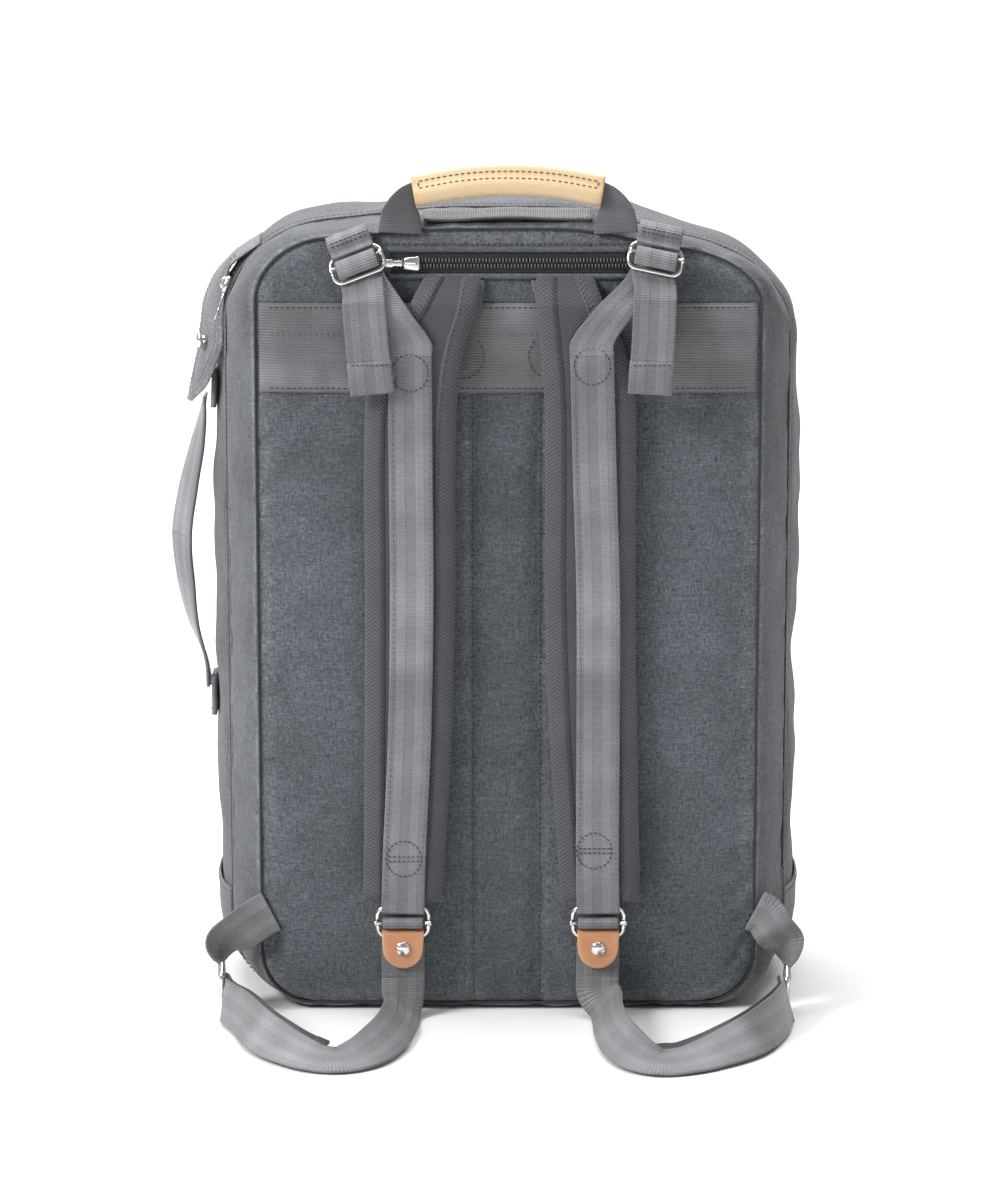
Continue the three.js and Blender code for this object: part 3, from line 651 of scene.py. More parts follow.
def section(y, half, bottom, top, upper, lower):
    """One outline across the depth: its y, half width, foot, top, and upper and lower corner radius."""
    return np.array([y, half, bottom, top, upper, lower], float)


def shrink(s, by):
    return s + np.array([0, -by, by, -by, -by, -by])


def ring_at(s, places):
    """Points of one rounded outline. Places count eighths: 0-1 right top corner, 1-2 top, 2-3 left corner,
    3-4 left side down, 4-5 left foot corner, 5-6 base, 6-7 right foot corner, 7-8 right side up."""
    y, half, bottom, top, upper, lower = s
    places = np.mod(np.asarray(places, float), 8)
    piece = places.astype(int)
    w = places - piece
    corner_x = np.array([half - upper, -half + upper, -half + lower, half - lower])
    corner_z = np.array([top - upper, top - upper, bottom + lower, bottom + lower])
    radius = np.array([upper, upper, lower, lower])
    quarter = piece // 2

    def corner(q, angle_part):
        angle = (q + angle_part) * math.pi / 2
        return corner_x[q] + radius[q] * np.cos(angle), corner_z[q] + radius[q] * np.sin(angle)

    cx, cz = corner(quarter, w)
    sx, sz = corner(quarter, 1.0)
    ex, ez = corner((quarter + 1) % 4, 0.0)
    ex = np.where(quarter == 3, half, ex)
    ez = np.where(quarter == 3, top - upper, ez)
    straight = piece % 2 == 1
    x = np.where(straight, sx + (ex - sx) * w, cx)
    z = np.where(straight, sz + (ez - sz) * w, cz)
    return np.stack([x, np.full_like(x, y), z], axis=1)


def even_places(start, end, step_corner=1 / 12, step_side=1 / 44):
    """Places for ring_at from start to end, closer together on its corners' short arcs."""
    found = [start]
    while found[-1] < end - 1e-9:
        here = found[-1]
        stretch = math.floor(here + 1e-9)
        step = step_side if stretch % 2 == 1 else step_corner
        found.append(min(here + step, stretch + 1, end))
    return np.array(found)


def sections_between(sections, count):
    """count sections along a smooth curve through the given ones, with their places from 0 to 1."""
    s = np.array(sections)
    extended = np.vstack([2 * s[0] - s[1], s, 2 * s[-1] - s[-2]])
    places = np.linspace(0, len(s) - 1, count)
    found = []
    for x in places:
        k = min(int(x), len(s) - 2)
        w = x - k
        a, b, c, d = extended[k:k + 4]
        square, cube = 2 * a - 5 * b + 4 * c - d, 3 * b - a - 3 * c + d
        found.append(0.5 * (2 * b + (c - a) * w + square * w ** 2 + cube * w ** 3))
    return found, places / (len(s) - 1)


def wobble(points, amount, scale, seed=0.0):
    """A smooth random shift for each point."""
    p = np.asarray(points, float)
    flat = p.reshape(-1, 3)
    shift = np.array([noise.fractal(Vector(q * scale * MM) + Vector((seed, 0, 0)), 0.6, 2.0, 3)
                      for q in flat])
    return shift.reshape(p.shape[:-1]) * amount


def surface_tree(obj):
    evaluated = obj.evaluated_get(bpy.context.evaluated_depsgraph_get())
    mesh = evaluated.to_mesh()
    tree = BVHTree.FromPolygons([v.co.copy() for v in mesh.vertices],
                                [tuple(p.vertices) for p in mesh.polygons])
    evaluated.to_mesh_clear()
    return tree


def drop(tree, points, direction, back=30.0):
    """Points moved along direction onto a surface, in millimetres, and the surface's normals there."""
    d = Vector(direction).normalized()
    found, normals = [], []
    for p in np.asarray(points, float):
        start = Vector(p * MM) - d * back * MM
        place, normal, _, _ = tree.ray_cast(start, d)
        if place is None:
            place, normal, _, _ = tree.find_nearest(Vector(p * MM))
        if normal.dot(d) > 0:
            normal = -normal
        found.append(np.array(place) / MM)
        normals.append(np.array(normal))
    return np.array(found), np.array(normals)


PUFF_FRAMES, STIFFNESS = 18, 12.0


def puff(obj, pins, pressure, shrink_by, cap):
    """Fills a fabric shell with air by cloth simulation and keeps the movement under cap millimetres."""
    rest = np.array([v.co for v in obj.data.vertices], float)
    group = obj.vertex_groups.new(name="pin")
    for i, w in enumerate(pins):
        if w > 0:
            group.add([i], float(w), "REPLACE")
    cloth = obj.modifiers.new("cloth", "CLOTH")
    s = cloth.settings
    s.quality = 6
    s.mass = 0.25
    s.vertex_group_mass = "pin"
    s.use_pressure = True
    s.uniform_pressure_force = pressure
    s.tension_stiffness = s.compression_stiffness = STIFFNESS
    s.shear_stiffness = STIFFNESS * 0.4
    s.bending_stiffness = 0.4
    s.shrink_min = s.shrink_max = -shrink_by
    s.effector_weights.gravity = 0
    cloth.collision_settings.use_collision = False
    cloth.point_cache.frame_start = 1
    cloth.point_cache.frame_end = PUFF_FRAMES
    for f in range(1, PUFF_FRAMES + 1):
        scene.frame_set(f)
    evaluated = obj.evaluated_get(bpy.context.evaluated_depsgraph_get())
    moved = np.array([v.co for v in evaluated.to_mesh().vertices], float)
    evaluated.to_mesh_clear()
    obj.modifiers.remove(cloth)
    obj.vertex_groups.clear()
    scene.frame_set(1)
    shift = moved - rest
    far = np.linalg.norm(shift, axis=1, keepdims=True)
    limit = cap * MM
    shift *= np.where(far > 0, limit * np.tanh(far / limit) / np.maximum(far, 1e-9), 0)
    obj.data.vertices.foreach_set("co", (rest + shift).ravel())
    obj.data.update()


# Lower webbing first: it is the free cord of each strap

# The two straps. pad, web and tail are x along each piece, glide is the lower buckle's middle. A point of
# outline is the loop's outer edge on the floor: x, y, the compass angle outwards and the webbing's lean.
SIDES = {
    "left": dict(
        sign=-1, root=-29, pad=[-31, -38, -48, -54, -56, -56, -58, -61],
        web=[-55.5, -55.3, -55, -56.5, -60, -61],
        buckle=vec(-85, -87, 441), tilt=21, tail=[-82, -80, -76.5], end=-61, glide=vec(-166, -90, 19),
        circles=[(-55.5, 380.5), (-60.2, 96)],
        outline=[
            [-51, -100, 0, 34], [-54, -135, -9, 40], [-61, -166, -31, 40], [-75, -190, -57, 24],
            [-92, -200, -78, 15], [-111, -198, -103, 16], [-130, -185, -125, 27], [-147, -163, -150, 48],
            [-159, -128, -166, 66], [-167, -109, -176, 76],
        ],
    ),
    "right": dict(
        sign=1, root=27, pad=[32, 36, 42, 46, 47, 47, 50, 54], web=[47.4, 49, 51.5, 51.8, 51.8, 52.4],
        buckle=vec(83, -87, 444), tilt=12, tail=[83, 82, 80], end=52.4, glide=vec(162, -91, 17),
        circles=[(47.4, 384.5), (49.8, 100.8)],
        outline=[
            [48, -100, 180, 46], [50, -138, 191, 50], [56, -175, 212, 42], [68, -197, 237, 25],
            [84, -205, 262, 15], [104, -201, 284, 16], [125, -188, 302, 27], [146, -167, 322, 48],
            [160, -135, 344, 66], [165.5, -110, 356, 76],
        ],
    ),
}
RING_Y, RING_Z = BACK_Y - 11, 56.8
PAD_Y = BACK_Y - 10.5
WEB_Y = BACK_Y - 15.6
LAYER_STEP, LIFT = 2.4, 1.8


def lower_loop(side, layer):
    """Centres and width directions of the webbing on the ground; layer 1 lies behind layer 0."""
    centres, widths = [], []
    for x, y, outward, lean in side["outline"]:
        out, tilt = math.radians(outward), math.radians(lean)
        away = vec(math.cos(out), math.sin(out), 0)
        back = WEB / 2 * math.cos(tilt) + layer * LAYER_STEP / math.sin(tilt)
        centres.append(vec(x, y, WEB / 2 * math.sin(tilt) + LIFT) - away * back)
        widths.append(away * math.cos(tilt) - Z_AXIS * math.sin(tilt))
    return centres, widths


def wire_points(centre, u, v, width, height, corner):
    """A wire ring's middle line: a rounded rectangle along u and v."""
    points = []
    for k, (su, sv) in enumerate(((1, 1), (-1, 1), (-1, -1), (1, -1))):
        for i in range(9):
            angle = (k + i / 8) * math.pi / 2
            a = su * (width / 2 - corner) + corner * math.cos(angle)
            b = sv * (height / 2 - corner) + corner * math.sin(angle)
            points.append(centre + u * a + v * b)
    return np.array(points)


BUCKLE_U = vec(0, 0.66, -0.75)
BUCKLE_V = vec(0, 0.75, 0.66)


def build_lower_webbing(name, side):
    sign, end, glide = side["sign"], side["end"], side["glide"]
    inward = vec(-sign, 0, 0)
    centres, widths = lower_loop(side, 0)
    descent = [vec(end, RING_Y, 44), vec(end, RING_Y, 34), vec(end, RING_Y - 0.8, 25),
               vec(end, RING_Y - 3.5, 15.5)]
    across = [inward, inward, inward, inward + vec(0, 0, -0.4)] + widths
    centre, _, side_dir, _, _ = frame_along(descent + centres, across, 150)
    cut = int(np.argmax(centre[:, 2] < 24.5))
    upper = strip("webbing_fall_" + name, centre[:cut + 2], side_dir[:cut + 2], "loop", count=24)
    finish_blend(upper)
    loop = strip("lower_webbing_loop_" + name, centre[cut:], side_dir[cut:], "loop", count=130, cup=0.5,
                 ripple=0.4, seed=sign * 2.0)
    path = curve(centre[cut:], 130)[0]
    wire = wire_points(glide, BUCKLE_U, BUCKLE_V, 30, 15, 5)
    buckle = tube("lower_wire_" + name, wire, 1.35, "nickel", closed=True, sides=14)
    finish(buckle, "bag", ["lower_buckle_" + name])
    bar_line = [glide - BUCKLE_U * 14.6, glide, glide + BUCKLE_U * 14.6]
    middle = finish(tube("lower_wire_bar_" + name, bar_line, 1.2, "nickel", sides=12), "bag")

    inner, inner_width = lower_loop(side, 1)
    returns_from = 5 if sign < 0 else 4
    first = glide - BUCKLE_V * 7 + vec(-sign * 3.2, -0.5, 1.0)
    back_route = [first] + inner[returns_from:][::-1]
    back_across = [BUCKLE_U] + inner_width[returns_from:][::-1]
    # The return layer and its hem take the inner look: painted shade behind the outer layer.
    back = strip("webbing_return_loop_" + name, back_route, back_across, "inner", count=90, cup=0.4)
    back_centre, _, back_side, _, _ = frame_along(back_route, back_across, 90)
    last = slice(-9, None)
    hem = strip("webbing_hem_" + name, back_centre[last], back_side[last], "inner", 25.2, 2.2, 9)

    right = sign > 0
    seam = vec(sign * 144 + (6 if right else 0), BACK_Y - 2.6 + (2 if right else 0), 57)
    corner_route = [
        seam + vec(-sign * 6, 1.2, 3), seam, vec(sign * 155, BACK_Y - 5.5, 50),
        vec(glide[0] + sign * 0.5, BACK_Y - 1.5, 40), glide + BUCKLE_V * 12 + vec(sign * 2.4, -3, 1),
        glide + BUCKLE_V * 5.5 + vec(0, -1.5, 1), glide + BUCKLE_V * 1.0 + vec(sign * 1.5, -2.2, 1),
    ]
    seam_across = vec(0.8 * -sign, 0, -0.6)
    corner_across = [seam_across] * 3 + [vec(0.5 * -sign, 0.45, -0.65)] + [BUCKLE_U] * 3
    corner = strip("corner_webbing_strip_" + name, corner_route, corner_across, "loop", count=44, thick=1.8)
    finish(corner, "bag", ["corner_webbing_" + name])
    wrap_route = [centre[-1], centre[-1] * 0.5 + (glide - BUCKLE_V * 9) * 0.5, glide - BUCKLE_V * 8,
                  glide - BUCKLE_V * 2]
    wrap_across = [side_dir[-1], side_dir[-1] + BUCKLE_U * 0.5, BUCKLE_U, BUCKLE_U]
    wrap = strip("buckle_wrap_" + name, wrap_route, wrap_across, "loop", width=[25, 25, 24, 24], count=30)
    finish(wrap, "bag")

    for piece, nodes in ((loop, ["lower_webbing_" + name]), (back, ["webbing_return_" + name]), (hem, [])):
        finish_blend(piece, nodes)


for side_name, side_data in SIDES.items():
    build_lower_webbing(side_name, side_data)


# Bag body: outlines from the panel's seam to the zip, and from the zip to the far face

GUSSET = [
    section(BACK_Y + 1.2, PANEL_HALF + 1.2, 3.4, PANEL_TOP + 1.4, 41, 31),
    section(BACK_Y + 3, PANEL_HALF + 3.6, 1.3, PANEL_TOP + 3.1, 43, 33),
    section(BACK_Y + 10, 152.3, 0.6, PANEL_TOP + 6.1, 48, 36),
    section(BACK_Y + 22, 158.3, 0.2, PANEL_TOP + 8.1, 55, 40),
    section(BACK_Y + 34.5, 162, 0.2, PANEL_TOP + 8.9, 60, 42),
    section(BACK_Y + 36.5, 161.2, 0.8, PANEL_TOP + 8.2, 60, 42),
]
SHELL = [
    section(BACK_Y + 42.3, 164, 1, BAG_TOP - 1.6, 61, 41),
    section(BACK_Y + 46, 165.6, 0.6, BAG_TOP - 0.6, 62, 42),
    section(BACK_Y + 60, 170, 0.6, BAG_TOP, 66, 44),
    section(BACK_Y + 88, 173, 0.6, BAG_TOP, 70, 46),
    section(BACK_Y + 115, 172, 0.6, BAG_TOP - 2, 70, 46),
    section(BACK_Y + 138, 166, 1, BAG_TOP - 8, 68, 46),
    section(BACK_Y + 151, 158.6, 3, BAG_TOP - 16.6, 64, 46),
    section(BACK_Y + 157.5, 150, 9, BAG_TOP - 25.5, 57, 42),
]
ALL_ROUND = even_places(0.0, 8.0)[:-1]


def smooth_step(t):
    """From 0 to 1 with level ends."""
    t = np.clip(t, 0, 1)
    return t * t * (3 - 2 * t)


def slump(points):
    """The bag's soft top corners sink: more on the right, more in the deep shell than at the panel."""
    p = np.array(points, float)
    deep = smooth_step((p[..., 1] - BACK_Y) / 35)
    most = np.where(p[..., 0] > 0, 19.0, 8.0) * (0.7 + 0.3 * deep)
    out = smooth_step((np.abs(p[..., 0]) - 25) / 100)
    up = smooth_step((p[..., 2] - 402 + 52 * deep) / (60 + 50 * deep))
    p[..., 2] -= most * out * up
    return p


def skin(sections, rows, places, by=0.0):
    """Rows of points over the sections, with each row's place in the depth from 0 to 1."""
    made, along = sections_between(sections, rows)
    return slump([ring_at(shrink(s, by), places) for s in made]), along


def add_noise_outwards(p, amount, scale, seed, keep):
    """Soft unevenness away from the bag's middle, and more sideways than up."""
    shift = wobble(p, amount, scale, seed) * keep
    out = p - BAG_MIDDLE
    out[..., 0] *= 1.6
    out[..., 1] = 0
    return p + unit(out) * shift[..., None]


def half_width(z, low, high, half, r_low, r_high):
    """Half the width of a rounded rectangle at height z."""
    wide = np.full_like(z, half)
    top = np.clip(z - (high - r_high), 0, r_high)
    wide = np.where(top > 0, half - (r_high - np.sqrt(np.maximum(r_high ** 2 - top ** 2, 0))), wide)
    foot = np.clip((low + r_low) - z, 0, r_low)
    return np.where(foot > 0, half - (r_low - np.sqrt(np.maximum(r_low ** 2 - foot ** 2, 0))), wide)


def inner_distance(x, z, low, high, half, r_low, r_high):
    """How far a point is inside the edge of a rounded rectangle."""
    middle = (low + high) / 2
    half_height = (high - low) / 2
    r = np.where(z > middle, r_high, r_low)
    qx, qz = np.abs(x) - half + r, np.abs(z - middle) - half_height + r
    outside = np.hypot(np.maximum(qx, 0), np.maximum(qz, 0)) + np.minimum(np.maximum(qx, qz), 0) - r
    return -outside


PANEL_SHAPE = (PANEL_LOW, PANEL_TOP, PANEL_HALF, 31.0, 40.0)


def panel_height(x, z):
    """How far the panel's face stands out from its edge plane."""
    d = np.maximum(inner_distance(x, z, *PANEL_SHAPE), 0)
    crown = 3.0 * (1 - np.exp(-d / 7.0)) + 1.0 * (1 - np.exp(-d / 45.0))
    channel = sum(1.8 * np.exp(-(((x - cx) / 3.0) ** 2)) for cx in CHANNEL_X)
    channel = channel * (1 / (1 + np.exp((z - CHANNEL_TOP) / 1.5)))
    band = 0.9 * np.exp(-(((z - BAND_LOW) / 2.4) ** 2)) + 0.7 * np.exp(-(((z - BAND_HIGH) / 2.4) ** 2))
    between = 0.9 * np.clip(1 - ((x - CHANNEL_MIDDLE) / 19.0) ** 2, 0, 1) * (z < CHANNEL_TOP)
    return crown - channel - band - between * 0.6


def patch_grid(shape, margin, rim, count, columns, power):
    """x and z over a rounded rectangle, with rows and columns closer together near its edge."""
    low, high = shape[:2]
    rims = (np.linspace(low, low + margin, rim)[:-1], np.linspace(high - margin, high, rim)[1:])
    heights = np.concatenate([rims[0], np.linspace(low + margin, high - margin, count), rims[1]])
    u = np.linspace(-1, 1, columns)
    u = np.sign(u) * (1 - (1 - np.abs(u)) ** power)
    x = half_width(heights, *shape)[:, None] * u
    return x, np.broadcast_to(heights[:, None], x.shape)


def build_panel():
    x, zz = patch_grid(PANEL_SHAPE, 6, 4, 128, 93, 1.06)
    p = np.stack([x, BACK_Y + 2.4 - panel_height(x, zz), zz], axis=-1)
    d = inner_distance(x, zz, *PANEL_SHAPE)
    wear_and_shade = np.exp(-np.abs(d) / 3.0) + 0.35 * np.exp(-((d - 6) / 2.0) ** 2)
    for cx in CHANNEL_X:
        wear_and_shade += 0.45 * np.exp(-(((np.abs(x - cx)) - 3.0) / 1.6) ** 2) * (zz < CHANNEL_TOP)
    # Painted shade: a negative value darkens the recessed middle channel between the straps.
    wear_and_shade -= 1.0 / (1 + np.exp((np.abs(x - CHANNEL_MIDDLE) - 17) / 1.5)) * (zz < CHANNEL_TOP + 2)
    piece = grid("back_panel_face", slump(p), "panel", uv=p[..., [0, 2]] * MM, wear_and_shade=wear_and_shade, inside=(0, 60, 230))
    pins = np.where(d < 2.0, 1.0, 0.0)
    for cx in CHANNEL_X:
        pins = np.where((np.abs(x - cx) < 1.7) & (zz < CHANNEL_TOP + 2), 1.0, pins)
    for bz in (BAND_LOW, BAND_HIGH):
        pins = np.where(np.abs(zz - bz) < 2.0, 1.0, pins)
    pins = np.where((np.abs(zz - TOP_ZIP_Z) < 10) & (np.abs(x) < 70), 1.0, pins)
    puff(piece, pins.ravel(), 2.2, shrink_by=0.012, cap=1.6)
    smooth_over(piece)
    finish(piece, "bag", ["back_panel", "back_foam", "top_pocket_liner"])
    return piece


def build_gusset():
    p, along = skin(GUSSET, 16, ALL_ROUND)
    keep = np.sin(np.clip(along, 0, 1) * math.pi)[:, None]
    p = add_noise_outwards(p, 2.0, 22, 5.0, keep)
    rubbed_and_sheen = np.exp(-((along - 0.12) / 0.07) ** 2) + np.exp(-((along - 0.86) / 0.08) ** 2)
    wear_and_shade = np.broadcast_to(rubbed_and_sheen[:, None], p.shape[:2])
    piece = grid("back_gusset_skin", p, "side", wrap=True, wear_and_shade=wear_and_shade)
    pins = np.broadcast_to(((along < 0.1) | (along > 0.9))[:, None], p.shape[:2]).astype(float)
    puff(piece, pins.ravel(), 1.4, shrink_by=0.02, cap=1.8)
    smooth_over(piece)
    finish(piece, "bag", ["back_gusset"])


FAR_Y, FAR_RINGS = 78.3, 25


def build_shell():
    """The deep half of the bag, closed over the far face by rings that shrink to a short upright line."""
    p, along = skin(SHELL, 34, ALL_ROUND, 1.3)
    keep = (np.sin(np.clip(along, 0, 1) * math.pi) ** 0.6)[:, None]
    low = np.clip((p[..., 2] - 20) / 60, 0, 1)
    p = add_noise_outwards(p, 4.4, 9, 1.0, keep * low)
    p = add_noise_outwards(p, 1.6, 26, 2.0, keep * low)
    rows = list(p)
    last = rows[-1]
    spine = np.stack([np.zeros(len(last)), np.full(len(last), FAR_Y), np.clip(last[:, 2], 162, 290)], axis=1)
    for t in np.linspace(0, 1, FAR_RINGS + 1)[1:]:
        w = t ** 1.1
        ring = last * (1 - w) + spine * w
        ring[:, 1] = FAR_Y - 0.8 * math.exp(-t / 0.05)
        rows.append(ring)
    rows = np.array(rows)
    depth = np.concatenate([along, np.full(FAR_RINGS, 2.0)])
    wear_and_shade = np.exp(-((depth - 0.97) / 0.03) ** 2)[:, None] + np.exp(-((depth - 0.02) / 0.03) ** 2)[:, None]
    wear_and_shade = np.broadcast_to(wear_and_shade, rows.shape[:2])
    piece = grid("main_shell_skin", rows, "side", wrap=True, wear_and_shade=wear_and_shade)
    # Held still: the zip's seam, all that the boot covers, the far edge and the far face
    pins = np.zeros(rows.shape[:2])
    pins[:2] = 1
    pins[rows[..., 2] < BOOT_HEIGHT - 4] = 1
    pins[33:36] = 1
    pins[np.abs(rows[..., 1] - 78) < 1.5] = 1
    puff(piece, pins.ravel(), 1.2, shrink_by=0.016, cap=3.0)
    smooth_over(piece)
    finish(piece, "bag", ["main_shell", "base_pad", "laptop_sleeve"])
    return piece


def build_boot():
    """The doubled canvas round the foot: a tub with a folded, stitched top edge."""
    made, along = sections_between(SHELL, 26)
    rows = []
    for s in made:
        s = shrink(s, 0.1)
        side = s[3] - s[4] - (s[2] + s[5])
        left = min(3 + (s[3] - s[4] - BOOT_HEIGHT) / side, 4.0)
        right = max(7 + (BOOT_HEIGHT - (s[2] + s[5])) / side, 7.0)
        stretches = ((left, 4, 10), (4, 5, 16), (5, 6, 40), (6, 7, 16))
        places = [np.linspace(*stretch)[:-1] for stretch in stretches] + [np.linspace(7, right, 10)]
        rows.append(ring_at(s, np.concatenate(places)))
    rows = np.array(rows)
    lift = 0.8 * np.sin(np.clip(along, 0, 1) * math.pi)[:, None] * (rows[..., 2] > 8)
    rows = rows + unit(rows * [1, 0, 0]) * lift[..., None]
    last = rows[-1]
    hem = np.stack([np.clip(last[:, 0], -149, 149), np.full(len(last), FAR_Y),
                    np.full(len(last), BOOT_HEIGHT)], axis=1)
    far_face = []
    for t in np.linspace(0, 1, 16)[1:]:
        ring = last * (1 - t) + hem * t
        ring[:, 1] = FAR_Y + 0.9 - 1.6 * math.exp(-t / 0.06)
        far_face.append(ring)
    body = np.concatenate([rows, np.array(far_face)])
    wear_and_shade = np.exp(-np.abs(body[..., 2] - BOOT_HEIGHT) / 4.0)
    piece = grid("base_boot_skin", body, "boot", wear_and_shade=wear_and_shade, inside=(0, 0, 200))
    thicken(piece, 1.0)
    finish(piece, "bag", ["base_boot"])
    return rows[:, 0], rows[:, -1]


panel = build_panel()
build_gusset()
shell = build_shell()
boot_left, boot_right = build_boot()
panel_tree = surface_tree(panel)
shell_tree = surface_tree(shell)


def onto_panel(points):
    return drop(panel_tree, points, Y_AXIS)


def sew_panel(points, **settings):
    placed, normals = onto_panel(points)
    thread.sew("bag", placed, normals, **settings)


def segment(a, b, step=2.0):
    a, b = np.asarray(a, float), np.asarray(b, float)
    n = max(2, int(np.linalg.norm(b - a) / step) + 1)
    return a + (b - a) * np.linspace(0, 1, n)[:, None]


CLEAR_OF_PANEL = -100


def level(x0, x1, z, y=CLEAR_OF_PANEL, step=2.0):
    """A level line from side to side, in front of the panel unless y says where."""
    return segment((x0, y, z), (x1, y, z), step)


# Seams: cord in the panel edge, coil zip, fixed seam

edge_ring = slump(ring_at(section(BACK_Y + 1.7, PANEL_HALF + 0.7, 3.6, PANEL_TOP + 0.7, 41, 31), ALL_ROUND))
finish(tube("panel_seam", edge_ring, 0.8, "tape", closed=True, sides=8), "bag")
for cx in CHANNEL_X:
    sew_panel(segment((cx, -90, 9), (cx, -90, BAND_LOW - 1)), pitch=3.3)

gusset_hem = sections_between(GUSSET, 16)[0][12]
ring = ring_at(gusset_hem, np.concatenate([ALL_ROUND, [8.0 - 1e-6]]))
out = ring - BAG_MIDDLE
out[:, 1] = -0.25 * np.linalg.norm(out[:, [0, 2]], axis=1)
thread.sew("bag", slump(ring), out, pitch=3.3, radius=0.26, lift=0.5)

# The zip runs from the foot of the right side over the top to the storm flap, the fixed seam the rest
ZIP_PLACES = even_places(7.095, 11.065)
FIXED_PLACES = even_places(3.065, 7.095)
ZIP_CORNER = 60.5
ZIP_SECTION = section(BACK_Y + 38.7, 162.4, 0.6, BAG_TOP - 0.9, ZIP_CORNER, 42)


def beside_zip(depth, wider, by, places):
    """The zip's outline moved in depth, made wider and shrunk."""
    s = ZIP_SECTION.copy()
    s[0] += depth
    s[1] += wider
    return ring_at(shrink(s, by), places)


def zip_rows(places, depths, shrunk):
    return slump([beside_zip(d, d * 0.15, b, places) for d, b in zip(depths, shrunk)])


def away_from_corners(ring):
    """Directions square to a zip outline, from the middles of its corners' arcs."""
    middles = [np.clip(ring[:, 0], -102, 102), ring[:, 1], np.clip(ring[:, 2], 42, 408)]
    return ring - np.stack(middles, axis=1)


tape_rows = zip_rows(ZIP_PLACES, (-4, -3.4, -1.5, 1.5, 3.4, 4), (1.6, 0.7, 0.6, 0.6, 0.7, 1.6))
finish(grid("main_zip_cloth", tape_rows, "tape", inside=BAG_MIDDLE), "bag", ["main_zip_tape"])
fixed_rows = zip_rows(FIXED_PLACES, (-4.2, -3.2, -1.2, 1.2, 3.2, 4.2), (1.8, 0.3, -0.2, -0.2, 0.3, 1.8))
fixed = grid("fixed_seam_cloth", fixed_rows, "side", inside=BAG_MIDDLE,
             wear_and_shade=np.full((6, len(FIXED_PLACES)), 0.4))
finish(fixed, "bag", ["fixed_seam"])


def coil_teeth(name, line, out, pitch=1.7, width=1.9, size=(0.62, 0.55)):
    """Two rows of small coil turns, one on each side of a zip's middle line."""
    line = np.asarray(line, float)
    out = np.broadcast_to(np.asarray(out, float), line.shape)
    far = lengths(line)
    count = int(far[-1] / pitch)
    places = (np.arange(count) + 0.5) * far[-1] / count
    at = np.stack([np.interp(places, far, line[:, k]) for k in range(3)], axis=1)
    normal = unit(np.stack([np.interp(places, far, out[:, k]) for k in range(3)], axis=1))
    along = unit(np.gradient(at, axis=0))
    side = unit(np.cross(along, normal))
    points, faces = [], []
    for k in range(count):
        for hand in (-1, 1):
            shift = along[k] * (0.25 * pitch * hand)
            start = len(points)
            for t, rise, scale in ((0, 0.0, 0.9), (0.25, 0.35, 1.0), (0.75, 0.35, 1.0), (1, -0.15, 0.8)):
                over = 0.25 + t * width
                centre = at[k] + shift + side[k] * hand * over + normal[k] * (rise + 0.3)
                for angle in (0.785, 2.356, 3.927, 5.498):
                    flat, high = size[0] * scale * math.cos(angle), size[1] * scale * math.sin(angle)
                    points.append(centre + along[k] * flat + normal[k] * high)
            for r in range(3):
                for i in range(4):
                    j = (i + 1) % 4
                    s = start + r * 4
                    faces.append((s + i, s + j, s + 4 + j, s + 4 + i))
            faces.append(tuple(start + i for i in (3, 2, 1, 0)))
            faces.append(tuple(start + 12 + i for i in range(4)))
    finish(mesh_piece(name, points, faces, None, "coil"), "bag")


zip_line = ring_at(shrink(ZIP_SECTION, 0.4), ZIP_PLACES)
zip_out = away_from_corners(zip_line)
coil_teeth("main_zip_coil", slump(zip_line), zip_out)
for depth in (-6.2, 6.0):
    ring = beside_zip(depth, depth * 0.2 + 0.4, -0.5, ZIP_PLACES)
    thread.sew("bag", slump(ring), zip_out, pitch=3.3, radius=0.26, look="pale_thread", lift=0.2)
for depth in (-2.0, 2.2):
    ring = beside_zip(depth, 0, -0.25, FIXED_PLACES)
    thread.sew("bag", slump(ring), away_from_corners(ring), pitch=3.3, radius=0.28, lift=0.2)

far_ring = ring_at(section(BACK_Y + 155.5, 153.8, 6.2, BAG_TOP - 21.6, 60, 44), ALL_ROUND)
finish(tube("far_piping", slump(far_ring), 1.5, "side", closed=True, sides=8), "bag")


# Boot hem

HEM_IN = 3.2
for edge, out in ((boot_left, -X_AXIS), (boot_right, X_AXIS)):
    thread.sew("bag", edge + [0, 0, -HEM_IN] + out * 0.3, out, pitch=3.2, look="pale_thread")
far_hem = level(-147, 147, BOOT_HEIGHT - HEM_IN, FAR_Y + 1.6)
thread.sew("bag", far_hem, Y_AXIS, pitch=3.2, look="pale_thread")


# Top pocket zip

